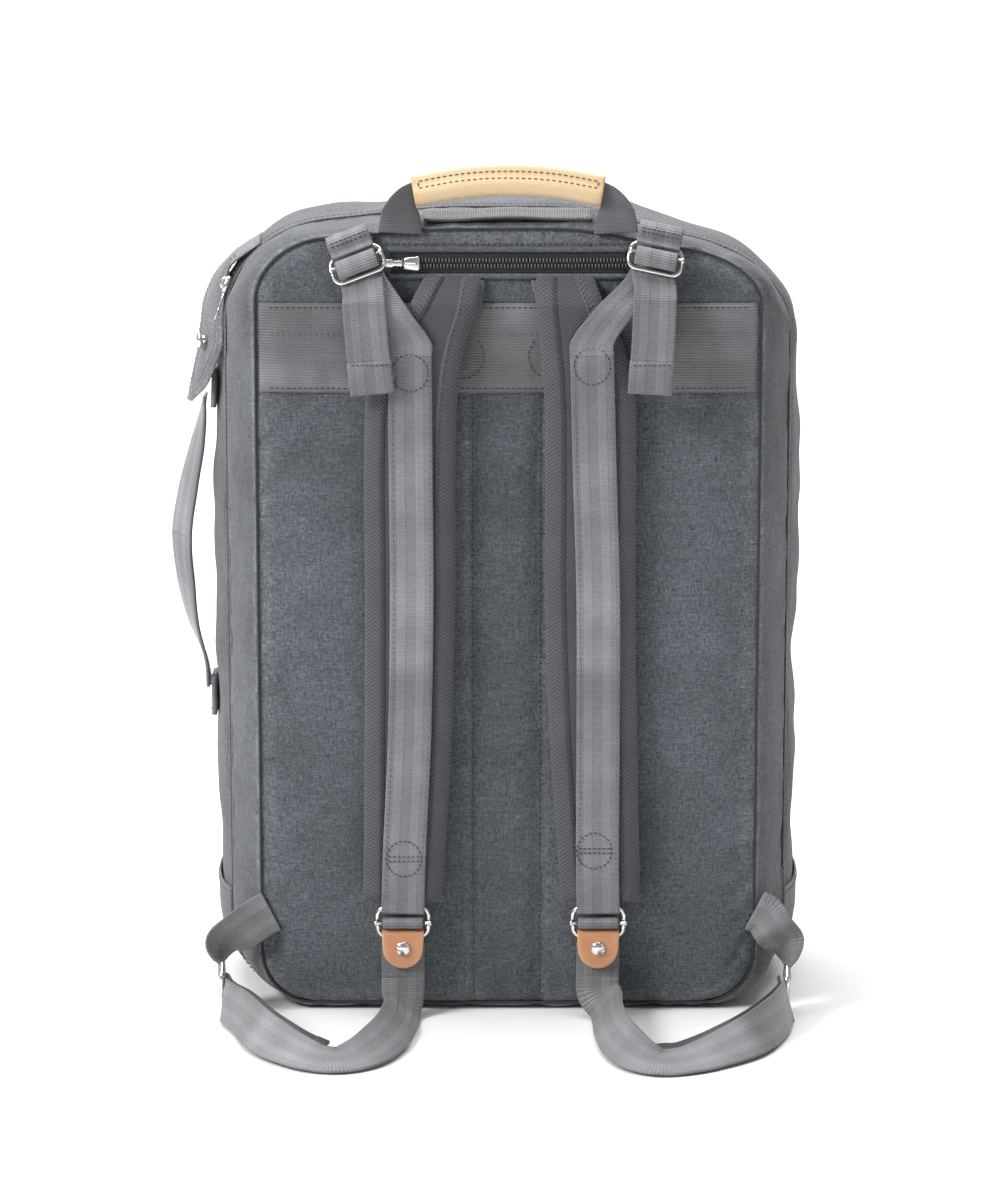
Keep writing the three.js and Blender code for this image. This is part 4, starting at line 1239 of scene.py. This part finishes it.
def on_panel(name, x0, x1, z0, z1, look, lift, columns, rows, replaces, vertical=False):
    """A flat cloth piece laid on the panel, with edges that reach down to it.

    Its weave runs across the bag, or upright; an upright piece also keeps the panel's hollows."""
    xs, zs = np.linspace(x0, x1, columns), np.linspace(z0, z1, rows)
    x, z = np.meshgrid(xs, zs)
    flat = np.stack([x, np.full_like(x, CLEAR_OF_PANEL), z], axis=-1)
    placed, _ = onto_panel(flat.reshape(-1, 3))
    y = placed[:, 1].reshape(x.shape) - lift
    ring_y = y if vertical else np.minimum(y, y.mean() + 0.4)
    grown = [np.concatenate([[a[0]], a, [a[-1]]]) for a in (xs, zs)]
    gx, gz = np.meshgrid(*grown)
    gy = np.pad(ring_y, 1, mode="edge")
    gy[[0, -1]] += lift + 0.8
    gy[1:-1, [0, -1]] += lift + 0.8
    p = np.stack([gx, gy, gz], axis=-1)
    weave = [gx - (x0 + x1) / 2, gz] if vertical else [gz - (z0 + z1) / 2, gx]
    uv = np.stack(weave, axis=-1) * MM
    finish(grid(name, p, look, uv=uv, inside=(0, 60, 230)), "bag", replaces)


on_panel("top_zip_cloth", -66, 67, 434.6, 447.6, "tape", 0.5, 70, 5, ["top_zip_tape"])
top_line, _ = onto_panel(level(-66, 67, TOP_ZIP_Z))
coil_teeth("top_zip_coil", top_line + [0, -0.7, 0], -Y_AXIS, pitch=1.9, width=2.7, size=(0.66, 0.7))
for z, look in ((448.6, "side"), (433.6, "panel")):
    line, _ = onto_panel(level(-68, 68, z))
    finish(tube("top_zip_lip_%d" % int(z), line + [0, -0.9, 0], 1.5, look), "bag")
for z in (451.6, 431.0):
    sew_panel(level(-70, 70, z), pitch=3.2)


def slider(name, centre, along, out, body, node):
    """A zip slider: a rounded wedge body with a bridge on top."""
    side = np.cross(along, out)
    rows = []
    shape = ((-4.6, 2.4, 0.9), (-3.6, 3.6, 1.5), (0, 3.9, 1.7), (3.6, 4.3, 1.5), (4.6, 3.6, 0.9))
    for t, half, high in shape:
        ring = [centre + along * t + side * half * c + out * high * s for c, s in squarish(16, 0.5, 0.6)]
        rows.append(ring)
    finish(grid(name, rows, "nickel", wrap=True, caps=True), body, [node])
    arch = [centre - along * 3 + out * 1.0, centre - along * 2.4 + out * 2.6, centre + out * 3.1,
            centre + along * 2.4 + out * 2.6, centre + along * 3 + out * 1.0]
    finish(tube(name + "_bridge", curve(arch, 18)[0], 0.7, "nickel", sides=8), body)


def pull(name, pivot, along, out, length, width, body, node):
    """A flat metal pull that narrows above its grip."""
    side = np.cross(along, out)
    stations = [(-0.4, 0.55, 0.5), (0.2, 0.75, 1.0)]
    for share, w, h in ((0.3, 0.7, 1.0), (0.42, 0.62, 0.8), (0.55, 1.0, 0.9), (0.9, 1.0, 0.9),
                        (0.98, 0.7, 0.7), (1, 0.35, 0.4)):
        stations.append((share * length, w, h))
    rows = []
    for t, w, h in stations:
        ring = squarish(14, 0.6, 0.7)
        rows.append([pivot + along * t + side * w * width / 2 * c + out * h * 0.6 * s for c, s in ring])
    finish(grid(name, rows, "nickel", wrap=True, caps=True), body, [node])


slider("top_slider_shape", vec(-54.5, -83.2, TOP_ZIP_Z), X_AXIS, -Y_AXIS, "top_slider", "top_zip_slider")
pull("top_pull_shape", vec(-60.1, -83.3, TOP_ZIP_Z), -X_AXIS, -Y_AXIS, 10, 4.6, "top_pull", "top_zip_pull")


# Strap band across the shoulders

BAND_HALF = 141.5
on_panel("strap_band_webbing", -BAND_HALF, BAND_HALF, BAND_LOW, BAND_HIGH, "band", 1.1, 110, 16,
         ["strap_band"], vertical=True)


def sew_band(points, **settings):
    placed, _ = onto_panel(points)
    thread.sew("bag", placed + [0, -1.15, 0], -Y_AXIS, **settings)


def ring_line(cx, y, cz, rx, rz, turns, count):
    """An arc in a plane of even y, from turns[0] to turns[1] in radians."""
    turn = np.linspace(*turns, count)
    return np.stack([cx + rx * np.cos(turn), np.full(count, float(y)), cz + rz * np.sin(turn)], axis=1)


for z in (BAND_LOW + 2.2, BAND_HIGH - 2.2):
    sew_band(level(-136, 136, z), pitch=3.2)
for z in (BAND_LOW + 17.5, BAND_LOW + 34):
    sew_band(level(-136, 136, z), pitch=3.2, radius=0.24, look="pale_thread")
for side_data in SIDES.values():
    root_x = side_data["root"] + side_data["sign"] * -2.5
    turns = (-0.25 * math.pi, 1.25 * math.pi)
    sew_band(ring_line(root_x, CLEAR_OF_PANEL, 388, 13, -13, turns, 26), pitch=3.0)


# Straps

# The pad's edge webbing reaches BINDING in from its side; PAD_FLAT and PAD_ROUND square off its section
BINDING, PAD_FLAT, PAD_ROUND, PAD_THICK = 11.0, 0.45, 0.8, 8.0


def pad_point(c, s, width, thick):
    """A point of the pad's section, which thins towards its sides."""
    x = c * 0.5
    y = s * 0.5
    return x * width, y * thick * (1 - 0.42 * abs(2 * x) ** 4)


def pad_section(width, thick):
    return [pad_point(c, s, width, thick) for c, s in squarish(28, PAD_FLAT, PAD_ROUND, 0.5)]


def binding_section(width, thick, grow):
    """The pad's edge from the top round its side to the bottom, grown outwards."""
    limit = math.acos(max(0.02, 1 - 2 * BINDING / width) ** (1 / PAD_FLAT))
    points = []
    for k in range(17):
        a = (1 - 2 * k / 16) * limit
        c, s = math.cos(a), math.sin(a)
        x, y = pad_point(powered(c, PAD_FLAT), powered(s, PAD_ROUND), width, thick)
        points.append((x + grow * abs(c), y + grow * powered(s, 0.5)))
    return points


def build_strap(name, side):
    sign = side["sign"]
    heights = [433.6, 415, 395, 370, 330, 250, 150, 69]
    back = [1.8, 0.7, 0.2, 0, 0, 0, 0, 0]
    route = [vec(x, PAD_Y + b, z) for x, b, z in zip(side["pad"], back, heights)]
    widths = [33, 40, 48, 52, 52, 52, 50, 46]
    body = "strap_" + name
    count = 150
    centre, _, across, normal, places = frame_along(route, [X_AXIS, X_AXIS], count, True)
    normal = -np.abs(normal[:, 1:2]) * Y_AXIS + normal * [1, 0, 1]
    width = along_list(widths, places)
    far = lengths(centre)
    rows, uv, thickness = [], [], []
    for i in range(count):
        taper = min(1.0, (far[-1] - far[i]) / 5.0 + 0.42, far[i] / 16.0 + 0.3)
        centre[i] += Y_AXIS * 6.6 * max(0.0, 1 - far[i] / 16.0)
        thickness.append(PAD_THICK * taper * (1 + 0.05 * noise.noise(Vector((far[i] * 0.02, sign * 3.0, 0)))))
        ring, row = [], []
        for a, b in pad_section(width[i] - 1.2, thickness[i]):
            ring.append(centre[i] + across[i] * a + normal[i] * b)
            row.append((a * MM, (far[i] + 0.3 * b) * MM))
        rows.append(ring)
        uv.append(row + row[:1])
    pad = grid("pad_" + name, rows, "twill", wrap=True, caps=True, uv=np.array(uv))
    finish(pad, body, ["strap_pad_" + name])
    for hand in (-1, 1):
        edge, uv = [], []
        for i in range(count):
            outer = binding_section(width[i] - 1.2, thickness[i], 0.5)
            inner = binding_section(width[i] - 1.2, thickness[i], -0.3)[::-1]
            edge.append([centre[i] + across[i] * a * hand + normal[i] * b for a, b in outer + inner])
            over = lengths(np.array(outer + inner + outer[:1]))
            uv.append([(o * MM, far[i] * MM) for o in over])
        cover_name = "pad_binding_%s_%s" % (name, "out" if hand * sign > 0 else "in")
        cover = grid(cover_name, edge, "binding", wrap=True, caps=True, uv=np.array(uv))
        finish(cover, body)
        line = [centre[i] + across[i] * hand * (width[i] / 2 - BINDING + 1.4) for i in range(3, count - 2)]
        placed, normals = drop(surface_tree(cover), line, Y_AXIS)
        thread.sew(body, placed, normals, pitch=3.1, radius=0.27)

    web_heights = [392, 330, 250, 170, 96, 62.6]
    web_route = [vec(x, WEB_Y + (0.8 if z < 70 else 0), z) for x, z in zip(side["web"], web_heights)]
    web_centre = curve(web_route, 140)[0]
    top = strip("webbing_long_" + name, web_centre, [X_AXIS, X_AXIS], "webbing", count=140, thick=1.7,
                ripple=0.35, seed=sign * 5.0)
    finish(top, body, ["strap_webbing_" + name])
    for hand in (-1, 1):
        line = web_centre[2:-8] + [hand * 10.4, -1.0, 0]
        thread.sew(body, line, -Y_AXIS, pitch=3.3, radius=0.24, look="pale_thread", lift=0.0)
    for number, (cx, cz) in enumerate(side["circles"]):
        circle = ring_line(cx, WEB_Y - 1.0, cz, 10.2, 10.6, (0, 2 * math.pi), 40)
        thread.sew(body, circle, -Y_AXIS, pitch=2.8, radius=0.3)
        if number:
            for dz in (-1.3, 1.3):
                cross_line = level(cx - 9.5, cx + 9.5, cz + dz, WEB_Y - 1.0)
                thread.sew(body, cross_line, -Y_AXIS, pitch=2.6, radius=0.28)

    root_x, pad_x = side["root"], side["pad"][0]
    root_points = [vec(root_x + (pad_x - root_x) * 0.5, BACK_Y - 3.2, 431.4), vec(pad_x, BACK_Y - 3.8, 424),
                   vec(pad_x, BACK_Y - 3.5, 404), vec(root_x - sign * 2, BACK_Y - 3.2, 380)]
    root = strip("strap_root_cloth_" + name, root_points, [X_AXIS] * 4, "shaded",
                 width=[33, 35, 35, 34, 31, 27, 20, 8], thick=2.2, count=50, sheared=True)
    finish(root, "bag", ["strap_root_" + name])
    build_adjuster(name, side)
    build_end(name, side, web_centre)


# The slide bar's turned profile: radius and place along it
BAR = [(0.2, -16), (1.2, -15.9), (1.75, -15.3), (1.8, -14.6), (1.5, -14), (1.15, -13.6), (1.1, 0),
       (1.15, 13.6), (1.5, 14),
       (1.8, 14.6), (1.75, 15.3), (1.2, 15.9), (0.2, 16)]


def build_adjuster(name, side):
    sign, buckle = side["sign"], side["buckle"]
    tilt = math.radians(side["tilt"]) * -sign
    u = vec(math.cos(tilt), 0, math.sin(tilt))
    lean = math.radians(25)
    v = vec(-math.sin(tilt) * math.cos(lean), math.sin(lean), math.cos(tilt) * math.cos(lean))
    line = wire_points(buckle, u, v, 30, 15, 5)
    wire = tube("adjuster_wire_" + name, line, 1.3, "nickel", closed=True, sides=14)
    finish(wire, "bag", ["upper_buckle_" + name])
    outwards = unit(np.cross(v, u))
    outwards = outwards * -np.sign(outwards[1])
    bar_at = buckle + v * 1 + outwards * 3.3
    finish(turned("adjuster_bar_" + name, BAR, bar_at, u, "nickel"), "bag", ["upper_buckle_bar_" + name])

    loop_end = buckle + v * 10.8 + vec(0, -0.9, 0)
    loop_top = vec(loop_end[0] - math.sin(tilt) * 6, BACK_Y - 2.6, loop_end[2] + math.cos(tilt) * 6)
    rise = unit(loop_top - loop_end)
    tuck = loop_top + vec(-math.sin(tilt) * 3, 3.0, math.cos(tilt) * 3)
    loop_route = [tuck, loop_top, (loop_top + loop_end) / 2, loop_end, buckle + v * 6.5 + outwards * 2.4]
    loop = strip("adjuster_loop_" + name, loop_route, [u] * 5, "webbing", thick=2.4, count=28)
    finish(loop, "bag", ["upper_loop_" + name])
    for drop_by in (0.5, 3.0):
        centre = loop_top - rise * drop_by + outwards * 1.4
        thread.sew("bag", segment(centre - u * 11, centre + u * 11), outwards, pitch=2.8, radius=0.3)
    # Two folds of webbing wrap the slide bar.
    for number, (reach, high, thick) in enumerate(((3.1, 0.0, 1.7), (4.6, -1.8, 1.5))):
        turn = np.linspace(-0.62, 0.62, 12) * math.pi
        wrap_route = []
        for a in turn:
            out_by = reach * 0.55 * math.cos(a) + 0.4 * number
            wrap_route.append(bar_at + v * (high + reach * math.sin(a)) + outwards * out_by)
        wrap_name = "bar_wrap_%s_%d" % (name, number)
        finish(strip(wrap_name, wrap_route, [u] * 12, "webbing", width=23.6, thick=thick, count=26), "bag")

    lower = buckle - v * 7.5
    lifter_top = lower + vec(-sign * 1.5, 1.5, -3.4)
    lifter_end = vec(side["web"][0], WEB_Y - 0.2, 390.4)
    above = lifter_end + vec(0, -0.5, 7)
    middle = vec(side["web"][0] + sign * 12, WEB_Y - 1.7, 415)
    lifter_route = [buckle + v * 1.0 + vec(0, 1.0, 0), lifter_top, middle, above, lifter_end]
    lifter = strip("lifter_webbing_" + name, lifter_route, [u, u, X_AXIS, X_AXIS, X_AXIS], "webbing",
                   count=46,
                   thick=1.7, sheared=True)
    finish_blend(lifter, ["lifter_" + name])

    tail_y = [BACK_Y - 17.8, BACK_Y - 21.2, BACK_Y - 19.8]
    heights = [lower[2] - 2.2, 405, 369]
    tail_route = [vec(x, y, z) for x, y, z in zip(side["tail"], tail_y, heights)]
    centre = curve(tail_route, 44)[0]
    behind = [lower + vec(0, 2.6, 3.0), lower + vec(0, 1.6, -1.6),
              vec(centre[4][0], centre[4][1] + 3.2, lower[2] - 8.5)]
    tail = strip("tail_webbing_" + name, behind + list(centre[9:]), [u] * 3 + [X_AXIS] * 35, "webbing",
                 width=24.4, count=60,
                 ripple=0.9, seed=sign * 11.0, cup=0.5)
    hem_rows = centre[-12:] + [0, 0.4, 0]
    hem = strip("tail_hem_" + name, hem_rows, [X_AXIS, X_AXIS], "webbing", width=25.2, thick=3.6, count=12)
    finish(tail, "tail_" + name, ["tail_" + name])
    finish(hem, "tail_" + name)
    seam = segment(centre[-11] + [-11, -1.6, 0], centre[-11] + [11, -1.6, 0])
    thread.sew("tail_" + name, seam, -Y_AXIS, pitch=2.8, radius=0.3)


def build_end(name, side, web_centre):
    end = side["end"]
    body = "strap_end_" + name
    centre = vec(end, RING_Y, RING_Z)
    line = wire_points(centre, X_AXIS, Z_AXIS, 29.5, 18, 6)
    ring = tube("end_wire_" + name, line, 1.35, "nickel", closed=True, sides=14)
    finish(ring, body, ["end_ring_" + name])
    bar_at = centre + vec(0, -3.3, 0)
    bar = turned("end_bar_" + name, [(r, h * 1.05) for r, h in BAR], bar_at, X_AXIS, "nickel")
    finish(bar, body, ["end_ring_bar_" + name])
    turn = np.linspace(-0.9, 0.9, 18) * math.pi
    roll = [bar_at + vec(0, -2.7 * math.cos(a), 2.5 * math.sin(a)) for a in turn]
    wrap = strip("end_roll_" + name, roll, [X_AXIS, X_AXIS], "webbing", width=23.4, thick=1.5, count=34)
    finish(wrap, body)

    # Leather tab: one strip folded over the ring, narrowing to a round foot.
    half, top, low = 12.25, 54.4, 29.5
    crest = top - 3.2
    front, back = BACK_Y - 15.2, BACK_Y - 7
    foot, leather_thick = 11.5, 2.2
    round_foot = [(foot * math.cos(a), low + foot + foot * math.sin(a))
                  for a in np.linspace(math.pi * 1.06, math.pi * 1.94, 25)]
    edge = [(-half, crest), (-half + 0.5, low + 12)] + round_foot + [(half - 0.5, low + 12), (half, crest)]
    edge = np.array(edge)
    middle = vec(0, 45.0)
    # From the edge inwards: share of the outline, depth below the face, and wear
    rounding = ((1.0, leather_thick, 1.0), (1.0, 0.5, 1.0), (0.975, 0.08, 0.9), (0.93, 0.0, 0.35),
                (0.6, -0.05, 0.0), (0.25, -0.08, 0.0), (0.02, -0.08, 0.0))
    parts = []
    for y, faces_front in ((front, True), (back - leather_thick, False)):
        rows, wear_and_shade = [], []
        for t, depth, worn in rounding:
            ring = middle + (edge - middle) * t
            face_y = y + depth if faces_front else y + leather_thick - depth
            rows.append(np.stack([end + ring[:, 0], np.full(len(ring), face_y), ring[:, 1]], axis=1))
            wear_and_shade.append(np.full(len(ring), worn))
        rows = np.array(rows)
        uv = np.concatenate([rows[:, :, [0, 2]], rows[:, :1, [0, 2]]], axis=1) * MM
        side_face = grid("tab_side", rows, "tan", wrap=True, uv=uv, wear_and_shade=np.array(wear_and_shade),
                         inside=(end, y + 1.1, 42))
        parts.append(side_face)
    fold_y, reach = (front + back) / 2, (back - front) / 2
    for radius, rise, inside_z in ((reach, 1.8, top - 3), (reach - 1.6, 0.6, top + 9)):
        rows = []
        for a in np.linspace(-0.5, 0.5, 16) * math.pi:
            at = vec(end, fold_y + radius * math.sin(a), top - 3.4 + rise * math.cos(a))
            rows.append([at + X_AXIS * x for x in np.linspace(-half, half, 12)])
        parts.append(grid("tab_fold", rows, "tan", inside=(end, fold_y, inside_z)))
    tab = join_meshes("tab_" + name, parts, "tan")
    finish(tab, body, ["leather_tab_" + name])
    rivet_profile = [(2.4, -0.6), (4.1, 0.0), (4.35, 0.35), (4.2, 0.8), (3.4, 1.5), (2.0, 2.0), (0.8, 2.15),
                     (0.05, 2.18)]
    rivet = turned("rivet_head_" + name, rivet_profile, vec(end, front, 41.6), -Y_AXIS, "nickel", 32)
    finish(rivet, body, ["rivet_" + name])


for side_name, side_data in SIDES.items():
    build_strap(side_name, side_data)


# Carry handle

def build_handle():
    y = -78.6
    left = [vec(-61, -80.3, 457.8), vec(-60.5, y, 469), vec(-58.5, y, 476), vec(-53.5, y, 481.4),
            vec(-27, y, 486.2)]
    right = [p * [-1, 1, 1] for p in left][::-1]
    route = left + [vec(0, y, 487.8)] + right
    turn, turn_back = vec(0.7, 0, -0.7), vec(-0.7, 0, -0.7)
    across = [X_AXIS, X_AXIS, turn] + [-Z_AXIS] * 5 + [turn_back, -X_AXIS, -X_AXIS]
    width = [25, 22, 15, 10, 10.6, 10.6, 10.6, 10, 15, 22, 25]
    web = strip("handle_webbing_strip", route, across, "shaded", width=width, thick=2.4, count=110,
                ripple=0.3)
    finish_blend(web, ["handle_webbing"])

    centre, tangent, _ = curve(route[3:8], 90)
    ups = unit(np.cross(Y_AXIS, tangent))
    ups = ups * np.sign(ups[:, 2:])
    grip_rows, wear_and_shade, uvs = [], [], []
    outline_points = []
    for k in range(40):
        a = k / 40 * 2 * math.pi
        c, s = math.cos(a), math.sin(a)
        flange = 1 / (1 + math.exp((0.12 - s) * 9))
        outline_points.append((6.2 * powered(c, 0.8) * (1 - 0.5 * flange), 8.8 * powered(s, 0.85)))
    far = lengths(centre)
    around = lengths(np.array(outline_points + outline_points[:1]))
    for i in range(90):
        edge_near = min(far[i], far[-1] - far[i])
        swell = 1 - 0.05 * math.exp(-edge_near / 1.5) + 0.012 * noise.noise(Vector((far[i] * 0.06, 4.0, 1.0)))
        grip_rows.append([centre[i] + Y_AXIS * d * swell + ups[i] * h * swell for d, h in outline_points])
        end_wear = math.exp(-edge_near / 2.2)
        wear_and_shade.append([end_wear + 0.5 * math.exp(-((h + 8.4) / 1.2) ** 2) for d, h in outline_points])
        uvs.append([(a * MM, far[i] * MM) for a in around])
    grip = grid("grip_sleeve", grip_rows, "grip", wrap=True, uv=np.array(uvs), wear_and_shade=np.array(wear_and_shade))
    thicken(grip, 1.1)
    finish(grip, "handle", ["handle_grip"])
    tree = surface_tree(grip)
    for face in (-1, 1):
        loop = [(i, 5.2) for i in range(3, 87)] + [(i, 1.6) for i in range(86, 2, -1)] + [(3, 5.2)]
        line = [centre[i] + ups[i] * high + Y_AXIS * face * 14 for i, high in loop]
        placed, normals = drop(tree, line, Y_AXIS * -face)
        thread.sew("handle", placed, normals, pitch=3.4, radius=0.3)
    # The base strip takes the inner look: painted shade under the handle.
    base_route = [vec(-47.5, -67, 466.4), vec(0, -67, 467.0), vec(47.5, -67, 466.4)]
    base = strip("handle_base_cloth", base_route, [vec(0, 0.97, 0.2)] * 3, "inner", width=18, count=50,
                 ripple=1.4, seed=31.0)
    finish(base, "bag", ["handle_base_strip"])


build_handle()


# Storm flap, main slider, side handle

def build_flap():
    y = -17
    route = [vec(-143, y, 455.6), vec(-152, y, 449.6), vec(-161, y, 441.5), vec(-167.5, y, 430),
             vec(-172, y, 413),
             vec(-174, y, 390), vec(-179.5, -12, 369), vec(-187.5, 0, 349)]
    width = [40, 40, 39, 38, 38, 34, 24, 4]
    across = [vec(turn, 1, 0) for turn in (0, 0, 0, -0.2, -0.36, -0.46, -0.5, -0.5)]
    centre, _, side, normal, places = frame_along(route, across, 60)
    centre = slump(centre)
    widths = along_list(width, places)
    far = lengths(centre)
    rows, uv, wear_and_shade = [], [], []
    section_u = np.concatenate([np.linspace(-0.5, 0.5, 21), np.linspace(0.5, -0.5, 21)])
    for i in range(60):
        ring, row, worn = [], [], []
        for k, a in enumerate(section_u):
            face = 1 if k < 21 else -1
            edge = 1 - math.exp(-(0.5 - abs(a)) * widths[i] / 0.7)
            curl = 1.6 * (2 * abs(a)) ** 2.5 + 0.8 * noise.noise(Vector((far[i] * 0.05, a * 2, 3.0)))
            thick = 1.3 * max(edge, 0.25) * face
            ring.append(centre[i] + side[i] * a * widths[i] + normal[i] * (thick + curl))
            row.append((a * widths[i] * MM, far[i] * MM))
            from_edge, from_tip = (0.5 - abs(a)) * widths[i], far[-1] - far[i]
            worn.append(math.exp(-from_edge / 2.0) + math.exp(-from_tip / 5))
        rows.append(ring)
        uv.append(row + row[:1])
        wear_and_shade.append(worn)
    flap = grid("storm_flap_cloth", rows, "flap", wrap=True, caps=True, uv=np.array(uv), wear_and_shade=np.array(wear_and_shade))
    finish_blend(flap, ["storm_flap"])
    tree = surface_tree(flap)
    for inset_by in (2.6, 5.6):
        wide = [i for i in range(12, 58) if widths[i] / 2 > inset_by + 0.8]
        for hand in (-1, 1):
            line = [centre[i] + side[i] * hand * (widths[i] / 2 - inset_by) for i in wide]
            out = normal[wide]
            for face in (1, -1):
                ends = [drop(tree, [p], -o * face, 8)[0][0] for p, o in zip(line, out)]
                thread.sew("flap", ends, out * face, pitch=3.0, radius=0.26, look="pale_thread")
    stud = [(2.6, -2.6), (2.6, 0.6), (2.2, 1.6), (4.2, 2.0), (4.5, 2.7), (4.2, 3.5), (2.6, 4.3), (0.05, 4.6)]
    cap = turned("flap_stud_cap", stud, vec(-176.8, -17.6, 387), vec(-0.97, -0.22, -0.05), "nickel", 30)
    finish(cap, "flap", ["flap_stud"])


build_flap()


def build_main_slider():
    """The slider and its pull on the arc that the zip makes round the left top corner."""
    middle, turn = vec(-102, -41.3, 408.2), math.radians(160)
    out = vec(math.cos(turn), 0, math.sin(turn))
    along = vec(-math.sin(turn), 0, math.cos(turn))
    centre = middle + out * (ZIP_CORNER + 2.2)
    slider("main_slider_shape", slump(centre) + out * 0.6, along, out, "main_slider", "main_zip_slider")
    pull_radius = ZIP_CORNER + 2.6
    tip = turn + 6.6 / pull_radius
    pivot = middle + vec(math.cos(tip), 0, math.sin(tip)) * pull_radius
    pull("main_pull_shape", slump(pivot), along, out, 16, 5, "main_pull", "main_zip_pull")


build_main_slider()


def build_side_handle():
    x = -177.5
    heights = [351.2, 340, 322, 295, 268, 240, 215, 193, 178]
    bow = [0, -1.5, -5, -11, -15, -13, -9, -2, 0]
    route = [vec(x + out_by, 0, z) for out_by, z in zip(bow, heights)]
    twist = [0, -0.15, -0.35, -0.5, -0.55, -0.5, -0.3, -0.1, 0]
    across = [unit(Y_AXIS + X_AXIS * t) for t in twist]
    centre, _, width, _, _ = frame_along(route, across, 121)
    for part, rows, sewn, free in (("upper", slice(0, 61), 350, 322), ("lower", slice(60, 121), 180, 212)):
        handle = strip("side_handle_strip_" + part, centre[rows], width[rows], "webbing", thick=2.2, count=61)
        nodes = ["side_handle"] if part == "upper" else []
        finish_blend(handle, nodes)
    for name, z0, z1, seams in (("upper", 346, 368, (351, 365)), ("lower", 161, 184, (179, 164))):
        flat = segment((-200, 0, z0), (-200, 0, z1), 1.5)
        placed, _ = drop(shell_tree, flat, (1, 0, 0), 60)
        placed[:, 0] = np.maximum(placed[:, 0] - 1.6, -179.2)
        tab = strip("side_tab_" + name, placed, [Y_AXIS, Y_AXIS], "webbing", width=25.4, thick=3.2, count=18)
        finish(tab, "bag", ["side_handle_tab_" + name])
        seam_x = placed[:, 0].mean() - 1.8
        for z in seams:
            thread.sew("bag", segment((seam_x, -11, z), (seam_x, 11, z)), -X_AXIS, pitch=2.6)


build_side_handle()


# Far face: pocket and its zip

POCKET_SHAPE = (BOOT_HEIGHT + 4, 330.0, 112.0, 14.0, 24.0)


def build_pocket():
    low, high, half, r_low, r_high = POCKET_SHAPE
    x, zz = patch_grid(POCKET_SHAPE, 5, 5, 60, 51, 1.3)
    d = np.maximum(inner_distance(x, zz, *POCKET_SHAPE), 0)
    y = 77.8 + 2.6 * (1 - np.exp(-d / 0.6)) + 2.6 * (1 - np.exp(-d / 14.0))
    rows = np.stack([x, y, zz], axis=-1)
    rows[..., 1] += wobble(rows, 1.1, 20, 7.0) * (1 - np.exp(-d / 12.0))
    piece = grid("front_pocket_cloth", rows, "side", uv=rows[..., [0, 2]] * MM, wear_and_shade=np.exp(-d / 2.5),
                 inside=(0, 0, 200))
    puff(piece, np.where(d < 3.5, 1.0, 0.0).ravel(), 1.6, shrink_by=0.015, cap=1.8)
    smooth_over(piece)
    finish(piece, "bag", ["front_pocket"])
    outline = section(98, half, low, high, r_low, r_high)
    tree = surface_tree(piece)
    all_round = np.concatenate([ALL_ROUND, [7.9999]])
    for by in (3.0, 6.4):
        placed, normals = drop(tree, ring_at(shrink(outline, by), all_round), -Y_AXIS)
        thread.sew("bag", placed, normals, pitch=3.2, look="pale_thread")


build_pocket()


def build_front_zip():
    z = FRONT_ZIP_Z
    profile = ((77.6, -7.4), (79.0, -7), (79.2, -3), (78.9, 0), (79.2, 3), (79.0, 7), (77.6, 7.4))
    rows = [[vec(x, y, z + dz) for x in np.linspace(-103, 103, 60)] for y, dz in profile]
    finish(grid("front_zip_cloth", rows, "tape", inside=BAG_MIDDLE), "bag", ["front_zip_tape"])
    coil_teeth("front_zip_coil", level(-102, 102, z, 79.2), Y_AXIS)
    for hand in (-1, 1):
        lip_z = z + hand * 8.0
        finish(tube("front_zip_lip_%d" % lip_z, level(-104, 104, lip_z, 79.2, 6), 1.3, "side"), "bag")
        thread.sew("bag", level(-104, 104, lip_z + hand * 3, 78.9), Y_AXIS, pitch=3.2, look="pale_thread")
    slider("front_slider_shape", vec(-89, 80.9, z), X_AXIS, Y_AXIS, "front_slider", "front_zip_slider")
    pull("front_pull_shape", vec(-95.2, 81.1, z), -X_AXIS, Y_AXIS, 18, 5.4, "front_pull", "front_zip_pull")


build_front_zip()
thread.build()


# Floor and backdrop

def build_stage():
    """Pale paper that turns up behind the object; its profile is in metres."""
    profile = [(-6.0, 0.0), (1.6, 0.0)]
    for k in range(1, 13):
        a = k / 12 * math.pi / 2
        profile.append((1.6 + 1.4 * math.sin(a), 1.4 * (1 - math.cos(a))))
    profile.append((3.0, 7.0))
    points = [(x, y / MM, z / MM - 0.3) for y, z in profile for x in (-6000, 6000)]
    faces = [(2 * k, 2 * k + 1, 2 * k + 3, 2 * k + 2) for k in range(len(profile) - 1)]
    g = Graph("studio_paper")
    place = g.node("ShaderNodeTexCoord").outputs["Object"]
    g.colour(g.shade((0.8, 0.8, 0.805), g.ramp(g.noise(place, 3, 3, 0.5), 0.3, 0.7, 0.99, 1.01)))
    g.bsdf.inputs["Roughness"].default_value = 0.7
    LOOKS["paper"] = g.material
    mesh_piece("studio_floor", points, faces, None, "paper")


build_stage()
